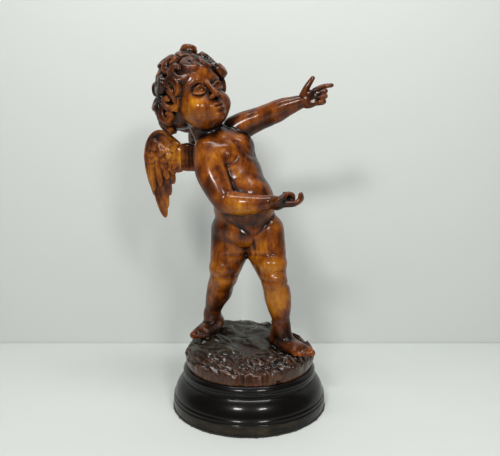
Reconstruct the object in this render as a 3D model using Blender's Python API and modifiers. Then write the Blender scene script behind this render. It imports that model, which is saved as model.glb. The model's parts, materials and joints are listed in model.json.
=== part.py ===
"""Carved wood cherub statue: a winged putto on a rock, on a round turned plinth.

Metres, +Z up. The origin is on the plinth's axis, at the underside of the felt pad.
The viewer in front looks along +Y. The putto's right side is at -X.
"""
import math

import bmesh
import bpy
import numpy
from mathutils import Matrix, Vector

# Felt pad under the plinth
FELT_THICKNESS = 0.0016
FELT_OVERHANG = 0.0006
FELT_FRAY = 0.0005

# Turned plinth, named from the floor up
BAND_RADIUS = 0.1287
BAND_HEIGHT = 0.0190
BAND_EDGE = 0.0012
GROOVE_DEPTH = 0.0026
GROOVE_HEIGHT = 0.0018
BEAD_INSET = 0.0010
BEAD_HEIGHT = 0.0060
OGEE_STEP = 0.0024
OGEE_HEIGHT = 0.0240
COVE_RADIUS = 0.1075
COVE_HEIGHT = 0.0030
RING_RADIUS = 0.1120
RING_HEIGHT = 0.0135
RING_EDGE = 0.0050
FILLET_DEPTH = 0.0009
FILLET_HEIGHT = 0.0012
PLINTH_STEPS = 40

# Carving: rock and figure
CARVING_HEIGHT = 0.5280
ROCK_MARGIN = 0.0060
JOINT_GAP = 0.0003
WOOD_VOXEL = 0.0017
CARVING_TRIANGLES = 5650

# Wings, set onto stubs behind the shoulders
WING_LENGTH = 0.150
WING_TRIANGLES = 740
WING_VOXEL = 0.0011

# The carving is drawn on a grid 530 units tall, measured from the plinth's top
GRID_HEIGHT = 530.0
UNIT = CARVING_HEIGHT / GRID_HEIGHT

FELT_TOP = FELT_THICKNESS
PLINTH_BOTTOM = FELT_TOP + JOINT_GAP
BAND_TOP = PLINTH_BOTTOM + BAND_HEIGHT
GROOVE_TOP = BAND_TOP + GROOVE_HEIGHT
BEAD_TOP = GROOVE_TOP + BEAD_HEIGHT
OGEE_TOP = BEAD_TOP + OGEE_HEIGHT
COVE_TOP = OGEE_TOP + COVE_HEIGHT
PLINTH_TOP = COVE_TOP + RING_HEIGHT
ROCK_BOTTOM = PLINTH_TOP + JOINT_GAP
ROCK_RADIUS = RING_RADIUS - ROCK_MARGIN


def on_grid(x, y, z):
    """A point of the carving, from grid units to metres."""
    return Vector((x * UNIT, y * UNIT, ROCK_BOTTOM + z * UNIT))


def body_frame(origin, turn, lean, nod=0.0, tip=0.0):
    """Axes of a body part: x to the putto's left, y to its back, z up its own height.

    turn is towards the viewer's right, lean to the viewer's left, nod lifts the chin
    and tip leans the part away from the viewer.
    """
    axes = Matrix.Rotation(math.radians(-lean), 4, "Y")
    axes = axes @ Matrix.Rotation(math.radians(-tip), 4, "X")
    axes = axes @ Matrix.Rotation(math.radians(turn), 4, "Z")
    axes = axes @ Matrix.Rotation(math.radians(-nod), 4, "X")
    return Matrix.Translation(on_grid(*origin)) @ axes @ Matrix.Diagonal((UNIT, UNIT, UNIT, 1.0))


GRID = Matrix.Translation((0.0, 0.0, ROCK_BOTTOM)) @ Matrix.Diagonal((UNIT, UNIT, UNIT, 1.0))
PELVIS = body_frame((-6, 4, 232), 16, 4)
CHEST = body_frame((-37, 8, 348), 38, 22)
HEAD = body_frame((-91, 6, 451), 37, 21, 5)


# Clay shapes: every mass is a ball, a limb or a coil, fused afterwards

class Clay:
    """Overlapping copies of a ball and a tapered rod, gathered into one mesh."""

    def __init__(self):
        self.points = []
        self.faces = []
        self.total = 0

    def add(self, points, faces):
        self.points.append(points)
        self.faces.extend([[corner + self.total for corner in face] for face in faces])
        self.total += len(points)

    def mesh(self, name):
        mesh = bpy.data.meshes.new(name)
        mesh.from_pydata(numpy.concatenate(self.points).tolist(), [], self.faces)
        mesh.update()
        return mesh


def primitive_arrays(shape):
    """Points and faces of a primitive, ready to be copied."""
    shape.verts.index_update()
    points = numpy.array([vert.co[:] for vert in shape.verts])
    faces = [[vert.index for vert in face.verts] for face in shape.faces]
    shape.free()
    return points, faces


def unit_ball(segments, rings):
    shape = bmesh.new()
    bmesh.ops.create_uvsphere(shape, u_segments=segments, v_segments=rings, radius=1.0)
    return primitive_arrays(shape)


def unit_rod(segments):
    shape = bmesh.new()
    bmesh.ops.create_cone(shape, cap_ends=True, segments=segments, radius1=1.0, radius2=1.0, depth=1.0)
    return primitive_arrays(shape)


FULL_BALL = unit_ball(24, 14)
SMALL_BALL = unit_ball(14, 8)
ROD = unit_rod(14)


def placed(points, place):
    matrix = numpy.array(place)
    return points @ matrix[:3, :3].T + matrix[:3, 3]


def ball(clay, frame, centre, radii, spin=(0.0, 0.0, 0.0)):
    """An ellipsoid at centre in a body frame, turned by spin degrees about its own x, y, z."""
    place = frame @ Matrix.Translation(Vector(centre))
    for axis, angle in zip("ZYX", reversed(spin)):
        place = place @ Matrix.Rotation(math.radians(angle), 4, axis)
    place = place @ Matrix.Diagonal((radii[0], radii[1], radii[2], 1.0))
    clay.add(placed(FULL_BALL[0], place), FULL_BALL[1])


def limb(clay, frame, stations):
    """A round limb through (x, y, z, radius) stations."""
    points = [frame @ Vector(station[:3]) for station in stations]
    scale = frame.to_scale().x
    radii = [station[3] * scale for station in stations]
    for point, radius in zip(points, radii):
        place = Matrix.Translation(point) @ Matrix.Diagonal((radius, radius, radius, 1.0))
        clay.add(placed(SMALL_BALL[0], place), SMALL_BALL[1])
    for index in range(len(points) - 1):
        step = points[index + 1] - points[index]
        if step.length < 1e-6:
            continue
        turn = step.to_track_quat("Z", "Y").to_matrix().to_4x4()
        place = Matrix.Translation((points[index + 1] + points[index]) / 2.0) @ turn
        share = (ROD[0][:, 2:] + 0.5)
        width = radii[index] * (1.0 - share) + radii[index + 1] * share
        rod = numpy.hstack((ROD[0][:, :2] * width, ROD[0][:, 2:] * step.length))
        clay.add(placed(rod, place), ROD[1])


def curl(clay, frame, centre, normal, size, thickness, start, turns=1.15, steps=9):
    """A lock of hair: a coil that winds in towards its middle and rises there."""
    out = Vector(normal).normalized()
    across = out.orthogonal().normalized()
    along = out.cross(across)
    stations = []
    for step in range(steps + 1):
        share = step / steps
        angle = math.radians(start) + share * turns * math.tau
        reach = size * (1.0 - 0.86 * share)
        rise = size * 0.30 * share
        point = Vector(centre) + out * rise
        point += (across * math.cos(angle) + along * math.sin(angle)) * reach
        stations.append((*point, thickness * (0.70 + 0.45 * math.sin(math.pi * share))))
    limb(clay, frame, stations)


# The figure's masses, in grid units

def add_torso(clay):
    ball(clay, PELVIS, (0, 2, 3), (56, 44, 39))
    limb(clay, GRID, [(-6, 10, 236, 42), (-8, 4, 268, 43), (-14, 2, 300, 43), (-25, 5, 328, 41),
                      (-38, 10, 352, 38)])
    for side in (-1, 1):
        ball(clay, PELVIS, (side * 25, 22, -10), (30, 29, 31))
    ball(clay, GRID, (-8, -3, 266), (52, 47, 40))
    ball(clay, GRID, (-8, -9, 284), (48, 42, 38))
    ball(clay, CHEST, (5, 2, -32), (50, 40, 36))
    ball(clay, CHEST, (3, 0, -2), (53, 39, 40))
    ball(clay, CHEST, (0, 6, 26), (46, 32, 22))
    for side in (-1, 1):
        ball(clay, CHEST, (side * 22 + 2, -22, 8), (25, 16, 20), (12, 0, side * 14))
        ball(clay, CHEST, (side * 24, 26, 10), (24, 14, 26))
        ball(clay, CHEST, (side * 22 + 2, -38, 2), (3, 3, 3))


def add_right_arm(clay):
    limb(clay, GRID, [(-66, -16, 358, 25), (-61, -32, 326, 25), (-46, -46, 294, 22), (-37, -51, 279, 19)])
    limb(clay, GRID, [(-37, -51, 279, 19), (-23, -58, 277, 18.5), (-5, -64, 276, 17), (14, -67, 277, 14),
                      (33, -69, 279, 11)])
    limb(clay, GRID, [(34, -69, 280, 12), (44, -70, 278, 11)])
    add_hand(clay, RIGHT_HAND, -1, RIGHT_FINGERS, RIGHT_THUMB)


def add_left_arm(clay):
    limb(clay, GRID, [(-22, 34, 396, 25), (4, 28, 410, 21), (28, 22, 418, 18.5)])
    limb(clay, GRID, [(28, 22, 418, 18.5), (44, 14, 424, 18.5), (58, 8, 430, 16.5), (74, 1, 435, 13),
                      (89, -5, 440, 10.5)])
    add_hand(clay, LEFT_HAND, 1, LEFT_FINGERS, LEFT_THUMB)


def hand_frame(origin, along, palm):
    """Axes of a hand: x along the fingers, z out of the palm, y towards the thumb or away."""
    x_axis = Vector(along).normalized()
    z_axis = (Vector(palm) - x_axis * x_axis.dot(Vector(palm))).normalized()
    y_axis = z_axis.cross(x_axis)
    axes = Matrix((x_axis, y_axis, z_axis)).transposed().to_4x4()
    return Matrix.Translation(on_grid(*origin)) @ axes @ Matrix.Diagonal((UNIT, UNIT, UNIT, 1.0))


# Joints of each finger from knuckle to tip: along the hand, towards the thumb, out of the palm
RIGHT_HAND = hand_frame((38, -70, 278), (1.0, -0.06, 0.06), (-0.06, -0.12, 1.0))
LEFT_HAND = hand_frame((89, -5, 439), (0.92, -0.05, 0.36), (-0.05, -1.0, 0.0))
RIGHT_FINGERS = (
    ((20, 9, -1), (31, 9, -1), (39, 8, 4), (41, 7, 12)),
    ((22, 3, -1), (34, 3, -1), (42, 3, 5), (42, 2, 12)),
    ((20, -4, 0), (28, -4, 2), (29, -4, 10), (23, -4, 13)),
    ((17, -10, 1), (23, -10, 3), (23, -10, 10), (17, -9, 12)),
)
RIGHT_THUMB = ((0, 8, 3), (8, 13, 7), (15, 11, 11), (19, 8, 13))
LEFT_FINGERS = (
    ((22, 9, 0), (33, 10, 1), (42, 9, 1), (50, 7, 0)),
    ((24, 3, 0), (34, 2, 3), (36, 1, 12), (29, 1, 14)),
    ((23, -4, 0), (32, -6, 3), (33, -6, 12), (26, -6, 14)),
    ((19, -10, 0), (27, -13, 3), (28, -13, 11), (22, -12, 13)),
)
LEFT_THUMB = ((2, 9, 3), (10, 17, 5), (18, 23, 6), (25, 28, 6))
FINGER_RADII = (4.9, 4.4, 4.0, 3.4)
THUMB_RADII = (6.6, 5.4, 4.6, 3.8)


def add_hand(clay, frame, thumb_side, fingers, thumb):
    ball(clay, frame, (12, 0, 0), (17, 13.5, 8))
    ball(clay, frame, (8, thumb_side * 8, 3), (12, 7, 7))
    for joints in fingers:
        limb(clay, frame, [(x, thumb_side * y, z, size) for (x, y, z), size in zip(joints, FINGER_RADII)])
    limb(clay, frame, [(x, thumb_side * y, z, size) for (x, y, z), size in zip(thumb, THUMB_RADII)])


def add_legs(clay):
    limb(clay, GRID, [(-33, 6, 226, 31), (-35, 3, 200, 30), (-39, 0, 172, 27), (-42, 0, 150, 22.5)])
    limb(clay, GRID, [(27, 0, 226, 32), (31, -7, 200, 30), (36, -17, 172, 26.5), (40, -28, 150, 20.5)])
    limb(clay, GRID, [(-18, 4, 214, 22), (-24, 3, 186, 19), (-30, 1, 164, 14)])
    limb(clay, GRID, [(14, 1, 214, 22), (20, -5, 186, 19), (28, -14, 162, 14)])
    # the rolls above the knees, and the knees
    ball(clay, GRID, (-40, -4, 168), (25, 23.5, 19))
    ball(clay, GRID, (36, -20, 176), (25.5, 25, 18))
    ball(clay, GRID, (-41, -12, 149), (15, 12, 13))
    ball(clay, GRID, (48, -40, 153), (11, 12, 11))
    # the lower legs, with the calves behind
    limb(clay, GRID, [(-43, 2, 150, 22), (-50, 11, 130, 21.5), (-58, 20, 104, 18), (-64, 27, 82, 14),
                      (-65, 30, 72, 13.5)])
    ball(clay, GRID, (-48, 20, 124), (20, 18, 24))
    limb(clay, GRID, [(42, -28, 148, 20), (46, -25, 128, 22), (50, -24, 104, 20), (53, -23, 82, 15),
                      (54, -23, 72, 14)])
    ball(clay, GRID, (47, -14, 122), (21, 18.5, 24))
    add_foot(clay, (-65, 29, 78), (-57, 45, 58), (-86, -8, 49), 1)
    add_foot(clay, (53, -23, 74), (46, -9, 44), (91, -71, 40), -1)


def add_foot(clay, ankle, heel, toe, big_toe_side):
    """A foot from its ankle, heel and big toe, with the toes fanned over its width."""
    ankle, heel, toe = Vector(ankle), Vector(heel), Vector(toe)
    ahead = (toe - heel).normalized()
    side = ahead.cross(Vector((0, 0, 1))).normalized() * big_toe_side
    ball_of_foot = heel.lerp(toe, 0.74)
    limb(clay, GRID, [(*ankle, 14), (*heel, 13)])
    limb(clay, GRID, [(*ankle, 14), (*heel.lerp(toe, 0.45), 13), (*ball_of_foot, 11)])
    for offset in (-8, 0, 8):
        limb(clay, GRID, [(*heel, 10), (*(ball_of_foot + side * offset), 9)])
    for index in range(5):
        across = side * (10.5 - index * 5.6)
        reach = (toe - ball_of_foot) * (1.0 - 0.09 * index)
        size = 6.2 if index == 0 else 4.6 - 0.25 * index
        start = ball_of_foot + across
        end = start + reach + Vector((0, 0, size - 8))
        limb(clay, GRID, [(*start, size + 0.6), (*end, size)])


def add_head(clay):
    limb(clay, GRID, [(-56, 14, 372, 30), (-70, 13, 396, 27), (-84, 10, 425, 27)])
    ball(clay, HEAD, (0, 4, 8), (47, 50, 50))
    ball(clay, HEAD, (0, -13, -24), (41, 37, 41))
    ball(clay, HEAD, (0, -36, 14), (33, 17, 22))
    ball(clay, HEAD, (0, -22, -50), (28, 24, 15))
    ball(clay, HEAD, (0, -40, -55), (12, 10, 9))
    for side in (-1, 1):
        ball(clay, HEAD, (side * 20, -30, -36), (18, 17, 19))
        ball(clay, HEAD, (side * 17, -44, -9), (9, 7, 6.5))
        limb(clay, HEAD, [(side * 7, -52, 2, 3.2), (side * 18, -50, 5.5, 3.8), (side * 29, -42, 1, 3.2)])
        ball(clay, HEAD, (side * 5.5, -54, -27), (4.3, 4.3, 4))
        ball(clay, HEAD, (side * 48, 2, -18), (5, 9, 13))
    limb(clay, HEAD, [(0, -51, -2, 4.2), (0, -56, -17, 4.8), (0, -58, -25, 5.6)])
    limb(clay, HEAD, [(-10, -48, -39, 2.2), (0, -53, -37.5, 3.4), (10, -48, -39, 2.2)])
    limb(clay, HEAD, [(-8, -48, -43, 2.4), (0, -51.5, -44.5, 3.8), (8, -48, -43, 2.4)])


# Rows of locks round the head: height in degrees, number, size and the share of the front
# that the row leaves bare
HAIR_ROWS = ((86, 1, 16, 2.0), (60, 6, 17, 2.0), (33, 9, 16, 2.0), (7, 11, 15, 0.45),
             (-15, 11, 14, 0.02), (-34, 10, 13, -0.2))
CROWN_HAIR = (Vector((1, 8, 13)), Vector((50, 52, 54)))
BACK_HAIR = (Vector((-10, 25, -11)), Vector((46, 43, 37)))
NAPE_HAIR = (Vector((-22, 20, -18)), Vector((31, 33, 26)))
LOCK_RADIUS = 6.6
LOCK_DEPTH = 3.0
# Knots of hair that break the outline: degrees round from the face and up, and their reach
KNOTS = ((40, 60, 59), (44, 8, 57), (52, -16, 50), (-12, 18, 49), (-127, 20, 50), (-129, -11, 52))
KNOT_SIZE = 11


def hair_surface(outward):
    """Distance along a direction from the crown's centre to the outside of the hair masses."""
    farthest = 0.0
    start = CROWN_HAIR[0]
    for centre, radii in (CROWN_HAIR, BACK_HAIR, NAPE_HAIR):
        away = Vector([(start - centre)[axis] / radii[axis] for axis in range(3)])
        step = Vector([outward[axis] / radii[axis] for axis in range(3)])
        half = away.dot(step)
        inside = half * half - step.length_squared * (away.length_squared - 1.0)
        if inside > 0.0:
            farthest = max(farthest, (math.sqrt(inside) - half) / step.length_squared)
    return farthest


def hair_way(around, up):
    """Direction from the crown's centre: around from the face towards the putto's left, and up."""
    return Vector((math.sin(around) * math.cos(up), -math.cos(around) * math.cos(up), math.sin(up)))


def hair_locks():
    """Centre, outward direction, size and start angle of each lock on the head."""
    for row, (height, count, size, bare) in enumerate(HAIR_ROWS):
        for place in range(count):
            around = math.tau * (place + 0.5 * (row % 2)) / count
            if math.cos(around) > bare:
                continue
            outward = hair_way(around, math.radians(height))
            centre = CROWN_HAIR[0] + outward * (hair_surface(outward) - LOCK_DEPTH)
            yield centre, outward, size, 97 * (place + 3 * row)
    for around, up, reach in KNOTS:
        outward = hair_way(math.radians(around), math.radians(up))
        yield CROWN_HAIR[0] + outward * (reach - LOCK_DEPTH), outward, KNOT_SIZE, 40 * reach


def add_hair(clay):
    for centre, radii in (CROWN_HAIR, BACK_HAIR, NAPE_HAIR):
        ball(clay, HEAD, centre, radii - Vector((2, 2, 2)))
    for centre, outward, size, start in hair_locks():
        curl(clay, HEAD, centre, outward, size, LOCK_RADIUS, start)


# Rock: a low block with a broken rim and a top of tilted facets that rises to the back

ROCK_CORNERS = 90
# Height of each level of the side, how far under the rim it stays, and its radius as a share of the foot
ROCK_SIDES = ((-8, 24, 1.00), (0, 16, 1.00), (9, 8, 1.015), (19, 4, 1.02), (28, 1, 0.99))
ROCK_BROKEN_FROM = 9
RIM_SHARE = 0.86
TOP_RINGS = 22
FACETS = 110


def rock_edge(angle):
    """Radius of the rock as a share of its foot, with broken corners all round."""
    broken = 0.014 * math.sin(5 * angle + 1.9) + 0.010 * math.sin(11 * angle - 2.3)
    return 1.0 + broken + 0.006 * math.sin(23 * angle)


def bump_at(x, y, middle_x, middle_y, width, depth):
    """A soft mound, 1 at its middle."""
    return math.exp(-(((x - middle_x) / width) ** 2 + ((y - middle_y) / depth) ** 2))


def rock_top(x, y):
    """Height of the rock's top in grid units, with its humps and hollows."""
    height = 36.5 + 0.085 * (y + 20.0)
    height += 4.0 * math.sin(x / 17.0 + 0.6) * math.sin(y / 23.0 + 1.0)
    height += 2.6 * math.sin(x / 8.5 + y / 14.0 + 2.0)
    height += 5.0 * bump_at(x, y, -5, 62, 34, 30) - 4.0 * bump_at(x, y, 8, -20, 26, 22)
    height += 4.0 * bump_at(x, y, -66, 15, 30, 42) - 10.0 * bump_at(x, y, 74, 0, 26, 60)
    # in front the rock is hewn down to a low rim, later where the left foot stands
    lip = 56.0 + 20.0 * min(max((x - 40.0) / 40.0, 0.0), 1.0)
    hewn = max(-y - lip, 0.0)
    return min(height, 34.0 - 0.38 * hewn) if hewn else height


def facet_sites():
    """Middle, height and tilt of each chiselled facet, spread evenly over the top."""
    for index in range(FACETS):
        around = math.radians(137.5 * index)
        reach = 104.0 * math.sqrt((index + 0.5) / FACETS)
        x, y = reach * math.cos(around), reach * math.sin(around)
        yield x, y, rock_top(x, y) - 1.0, 0.14 * math.sin(2.7 * index), 0.17 * math.cos(4.1 * index)


def facet_height(sites, x, y):
    """Height of the nearest facet's plane over a point, kept close to the rock's own form."""
    site = min(sites, key=lambda site: (site[0] - x) ** 2 + (site[1] - y) ** 2)
    middle_x, middle_y, height, slope_x, slope_y = site
    return height + slope_x * (x - middle_x) + slope_y * (y - middle_y)


def add_rock(clay):
    sites = list(facet_sites())
    foot = ROCK_RADIUS / UNIT
    points = []
    for height, under, share in ROCK_SIDES:
        for step in range(ROCK_CORNERS):
            angle = math.tau * step / ROCK_CORNERS
            reach = foot * share * (rock_edge(angle) if height >= ROCK_BROKEN_FROM else 1.0)
            x, y = math.cos(angle) * reach, math.sin(angle) * reach
            points.append(on_grid(x, y, min(height, facet_height(sites, x, y) * RIM_SHARE - under)))
    for ring in range(TOP_RINGS):
        share = 0.965 * (1.0 - ring / TOP_RINGS)
        for step in range(ROCK_CORNERS):
            angle = math.tau * step / ROCK_CORNERS
            reach = foot * share * rock_edge(angle)
            x, y = math.cos(angle) * reach, math.sin(angle) * reach
            rim = 1.0 - (1.0 - RIM_SHARE) * max(0.0, share - 0.72) ** 2 / 0.06
            points.append(on_grid(x, y, facet_height(sites, x, y) * rim))
    levels = len(ROCK_SIDES) + TOP_RINGS
    faces = [list(reversed(range(ROCK_CORNERS)))]
    for level in range(levels - 1):
        for step in range(ROCK_CORNERS):
            following = (step + 1) % ROCK_CORNERS
            low, high = level * ROCK_CORNERS, (level + 1) * ROCK_CORNERS
            faces.append([low + step, low + following, high + following, high + step])
    faces.append([(levels - 1) * ROCK_CORNERS + step for step in range(ROCK_CORNERS)])
    clay.add(numpy.array([point[:] for point in points]), faces)


# Wings: overlapping carved feathers on a flat lobe, drawn on a grid 147 units tall

WING_UNIT = WING_LENGTH / 147.0


def wing_frame(origin, outward, up, face):
    """Axes of a wing: x away from the body, z up, y out of the side that the viewer sees."""
    x_axis = Vector(outward).normalized()
    z_axis = (Vector(up) - x_axis * x_axis.dot(Vector(up))).normalized()
    y_axis = z_axis.cross(x_axis) * face
    axes = Matrix((x_axis, y_axis, z_axis)).transposed().to_4x4()
    return Matrix.Translation(on_grid(*origin)) @ axes


RIGHT_WING = wing_frame((-115, 34, 350), (-1.0, 0.22, 0.0), (0.0, -0.10, 1.0), 1)
LEFT_WING = wing_frame((-60, 74, 372), (-0.74, 0.67, 0.0), (-0.05, -0.28, 0.95), 1)
RIGHT_BLADE = (-80, 24, 347)
LEFT_BLADE = (-46, 44, 362)
# Half the block round a joint that holds the stub's end and nothing else, and how far up the
# cut under the rock looks, in grid units
STUB_REACH = (24, 18, 27)
ROCK_CLEARANCE = 20


def feather(clay, frame, root, tip, width, thickness):
    """A flat leaf from root to tip, both (x, y, z) in the wing's own axes."""
    root, tip = Vector(root), Vector(tip)
    along = (tip - root).normalized()
    face = (Vector((0, 1, 0)) - along * along.y).normalized()
    across = face.cross(along)
    axes = Matrix((across, face, along)).transposed().to_4x4()
    place = frame @ Matrix.Translation((root + tip) / 2.0) @ axes
    place = place @ Matrix.Diagonal((width / 2.0, thickness / 2.0, (tip - root).length / 2.0, 1.0))
    clay.add(placed(FULL_BALL[0], place), FULL_BALL[1])


# Number of coverts in a row, height of their roots, and where the outermost and innermost sit
COVERT_ROWS = ((5, 1, 58, 16), (5, 11, 59, 17), (4, 21, 57, 20), (3, 30, 52, 27), (2, 37, 44, 34))


def wing_clay(frame):
    """The wing's lobe, its root and its rows of feathers."""
    clay = Clay()
    sized = frame @ Matrix.Diagonal((WING_UNIT, WING_UNIT, WING_UNIT, 1.0))
    ball(clay, sized, (38, -1, 8), (28, 6, 34))
    ball(clay, sized, (8, 0, -3), (20, 7.5, 24))
    for index in range(5):
        share = index / 4
        root = (57 - 24 * share, 0, 0)
        tip = (39 - 14 * share, -6 + 2 * share, -105 + 54 * share)
        feather(clay, sized, root, tip, 18 - 2 * share, 8)
        feather(clay, sized, (60 - 30 * share, 1, 4), (56 - 40 * share, -1, -62 + 28 * share), 14, 9)
    # rows of scalloped coverts on both faces, the lowest row first
    for row, (count, height, outer, inner) in enumerate(COVERT_ROWS):
        for side in (1, -1):
            for index in range(count):
                share = index / (count - 1)
                across = outer + (inner - outer) * share
                top = height - 4 * share - 4 * (2 * share - 1) ** 2
                lift = 2.2 + 0.55 * row
                root = (across + 0.5, side * (lift - 1.0), top)
                feather(clay, sized, root, (across - 1.5, side * (lift + 1.6), top - 25), 15, 7)
    return clay


def add_wing_stubs(clay):
    """The two blocks behind the shoulders that the wings are set onto."""
    for frame, blade in ((RIGHT_WING, RIGHT_BLADE), (LEFT_WING, LEFT_BLADE)):
        stub = frame @ Matrix.Diagonal((UNIT, UNIT, UNIT, 1.0))
        for height in (-14, -7, 0, 7, 14):
            limb(clay, stub, [(8, 0, height, 8), (-12, 0, height, 8.5)])
            start = stub @ Vector((-10, 0, height))
            limb(clay, Matrix(), [(*start, 8.5 * UNIT), (*on_grid(*blade), 11 * UNIT)])


def plinth_profile():
    """Outer side of the turned plinth from the top down, as (radius, height)."""
    ring_mid = COVE_TOP + RING_HEIGHT * 0.42
    points = [(0.0, PLINTH_TOP)]
    for step in range(5):
        angle = math.radians(90 - 22.5 * step)
        across = RING_RADIUS - RING_EDGE + RING_EDGE * math.cos(angle)
        points.append((across, PLINTH_TOP - RING_EDGE + RING_EDGE * math.sin(angle)))
    points.append((RING_RADIUS, ring_mid + FILLET_HEIGHT))
    points.append((RING_RADIUS - FILLET_DEPTH, ring_mid))
    points.append((RING_RADIUS - FILLET_DEPTH, COVE_TOP))
    points.append((COVE_RADIUS, COVE_TOP - COVE_HEIGHT * 0.15))
    points.append((COVE_RADIUS, OGEE_TOP))
    ogee_foot = BAND_RADIUS - BEAD_INSET - OGEE_STEP
    for step in range(1, 8):
        angle = math.radians(90 * step / 7)
        across = COVE_RADIUS + (ogee_foot - COVE_RADIUS) * math.sin(angle)
        points.append((across, BEAD_TOP + OGEE_HEIGHT * math.cos(angle)))
    bead_radius = BAND_RADIUS - BEAD_INSET
    for step in range(5):
        angle = math.radians(80 - 40 * step)
        across = bead_radius - OGEE_STEP * 0.8 * (1.0 - math.cos(angle))
        points.append((across, GROOVE_TOP + BEAD_HEIGHT * (0.5 + 0.5 * math.sin(angle))))
    points.append((BAND_RADIUS - GROOVE_DEPTH, GROOVE_TOP - GROOVE_HEIGHT * 0.2))
    points.append((BAND_RADIUS - GROOVE_DEPTH, BAND_TOP + GROOVE_HEIGHT * 0.2))
    points.append((BAND_RADIUS - BAND_EDGE, BAND_TOP))
    points.append((BAND_RADIUS, BAND_TOP - BAND_EDGE))
    points.append((BAND_RADIUS, PLINTH_BOTTOM + BAND_EDGE))
    points.append((BAND_RADIUS - BAND_EDGE, PLINTH_BOTTOM))
    points.append((0.0, PLINTH_BOTTOM))
    return points


def felt_profile_radius(angle):
    """Frayed outline of the felt pad."""
    fray = 0.5 * math.sin(17 * angle) + 0.3 * math.sin(41 * angle + 1.0) + 0.2 * math.sin(67 * angle)
    return BAND_RADIUS + FELT_OVERHANG + FELT_FRAY * fray


# Objects, materials and the finished solids

def principled(name, colour, roughness, metallic=0.0):
    material = bpy.data.materials.new(name)
    material.use_nodes = True
    shader = material.node_tree.nodes["Principled BSDF"]
    shader.inputs["Base Color"].default_value = (*colour, 1.0)
    shader.inputs["Roughness"].default_value = roughness
    shader.inputs["Metallic"].default_value = metallic
    return material


def new_object(name, mesh, collection, material=None):
    item = bpy.data.objects.new(name, mesh)
    collection.objects.link(item)
    if material:
        mesh.materials.append(material)
    return item


def mesh_from(clay, name):
    mesh = bpy.data.meshes.new(name)
    clay.to_mesh(mesh)
    clay.free()
    return mesh


def fused_mesh(item, kind, **settings):
    """The object's mesh after one modifier."""
    modifier = item.modifiers.new("Step", kind)
    for name, value in settings.items():
        setattr(modifier, name, value)
    bpy.context.view_layer.update()
    graph = bpy.context.evaluated_depsgraph_get()
    mesh = bpy.data.meshes.new_from_object(item.evaluated_get(graph))
    item.modifiers.clear()
    return mesh


def fuse(item, voxel, smoothing, triangles):
    """Fuse overlapping clay into one skin and thin it to the triangles it is given."""
    item.data = fused_mesh(item, "REMESH", mode="VOXEL", voxel_size=voxel)
    item.data = fused_mesh(item, "SMOOTH", factor=0.5, iterations=smoothing)
    keep_largest_body(item.data)
    ratio = min(1.0, triangles / (2.0 * len(item.data.polygons)))
    item.data = fused_mesh(item, "DECIMATE", ratio=ratio, use_collapse_triangulate=True)
    item.data.shade_smooth()


def keep_largest_body(mesh):
    """Leave out any closed pocket that was walled in between the masses."""
    body = bmesh.new()
    body.from_mesh(mesh)
    body.verts.ensure_lookup_table()
    seen = set()
    groups = []
    for vert in body.verts:
        if vert.index in seen:
            continue
        seen.add(vert.index)
        group = [vert]
        for member in group:
            for edge in member.link_edges:
                other = edge.other_vert(member)
                if other.index not in seen:
                    seen.add(other.index)
                    group.append(other)
        groups.append(group)
    groups.sort(key=len)
    for group in groups[:-1]:
        bmesh.ops.delete(body, geom=group, context="VERTS")
    body.to_mesh(mesh)
    body.free()


def cut_flat(item, frame, low, high):
    """Take away what lies past x = 0 of a frame, between two corners there, and close the cut."""
    body = bmesh.new()
    body.from_mesh(item.data)
    to_frame = frame.inverted()
    faces = []
    for face in body.faces:
        middle = to_frame @ face.calc_center_median()
        if all(low[axis] < middle[axis] < high[axis] for axis in range(3)):
            faces.append(face)
    edges = {edge for face in faces for edge in face.edges}
    verts = {vert for face in faces for vert in face.verts}
    outward = frame.to_3x3() @ Vector((1.0, 0.0, 0.0))
    cut = bmesh.ops.bisect_plane(body, geom=faces + sorted(edges, key=lambda edge: edge.index)
                                 + sorted(verts, key=lambda vert: vert.index),
                                 dist=1e-7, plane_co=frame.translation, plane_no=outward, clear_outer=True)
    rim = [part for part in cut["geom_cut"] if isinstance(part, bmesh.types.BMEdge)]
    closed = bmesh.ops.holes_fill(body, edges=rim, sides=0)
    bmesh.ops.triangulate(body, faces=closed["faces"])
    bmesh.ops.recalc_face_normals(body, faces=body.faces)
    body.to_mesh(item.data)
    body.free()


def build_carving(parts, material):
    clay = Clay()
    add_rock(clay)
    add_legs(clay)
    add_torso(clay)
    add_right_arm(clay)
    add_left_arm(clay)
    add_head(clay)
    add_hair(clay)
    add_wing_stubs(clay)
    item = new_object("cherub_on_rock", clay.mesh("cherub_on_rock"), parts, material)
    fuse(item, WOOD_VOXEL, 3, CARVING_TRIANGLES)
    downward = Matrix.Translation((0.0, 0.0, ROCK_BOTTOM)) @ Matrix.Rotation(math.radians(90), 4, "Y")
    reach = 2.0 * ROCK_RADIUS
    cut_flat(item, downward, (-ROCK_CLEARANCE * UNIT, -reach, -reach), (reach, reach, reach))
    for frame in (RIGHT_WING, LEFT_WING):
        joint = frame @ Matrix.Translation((-JOINT_GAP / 2.0, 0.0, 0.0))
        corner = Vector(STUB_REACH) * UNIT
        cut_flat(item, joint, -corner, corner)
    return item


def build_wing(name, frame, parts, material):
    item = new_object(name, wing_clay(frame).mesh(name), parts, material)
    fuse(item, WING_VOXEL, 1, WING_TRIANGLES)
    joint = frame @ Matrix.Translation((JOINT_GAP / 2.0, 0.0, 0.0))
    inward = joint @ Matrix.Rotation(math.radians(180), 4, "Z")
    corner = Vector((WING_LENGTH, WING_LENGTH, WING_LENGTH))
    cut_flat(item, inward, -corner, corner)
    return item


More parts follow.
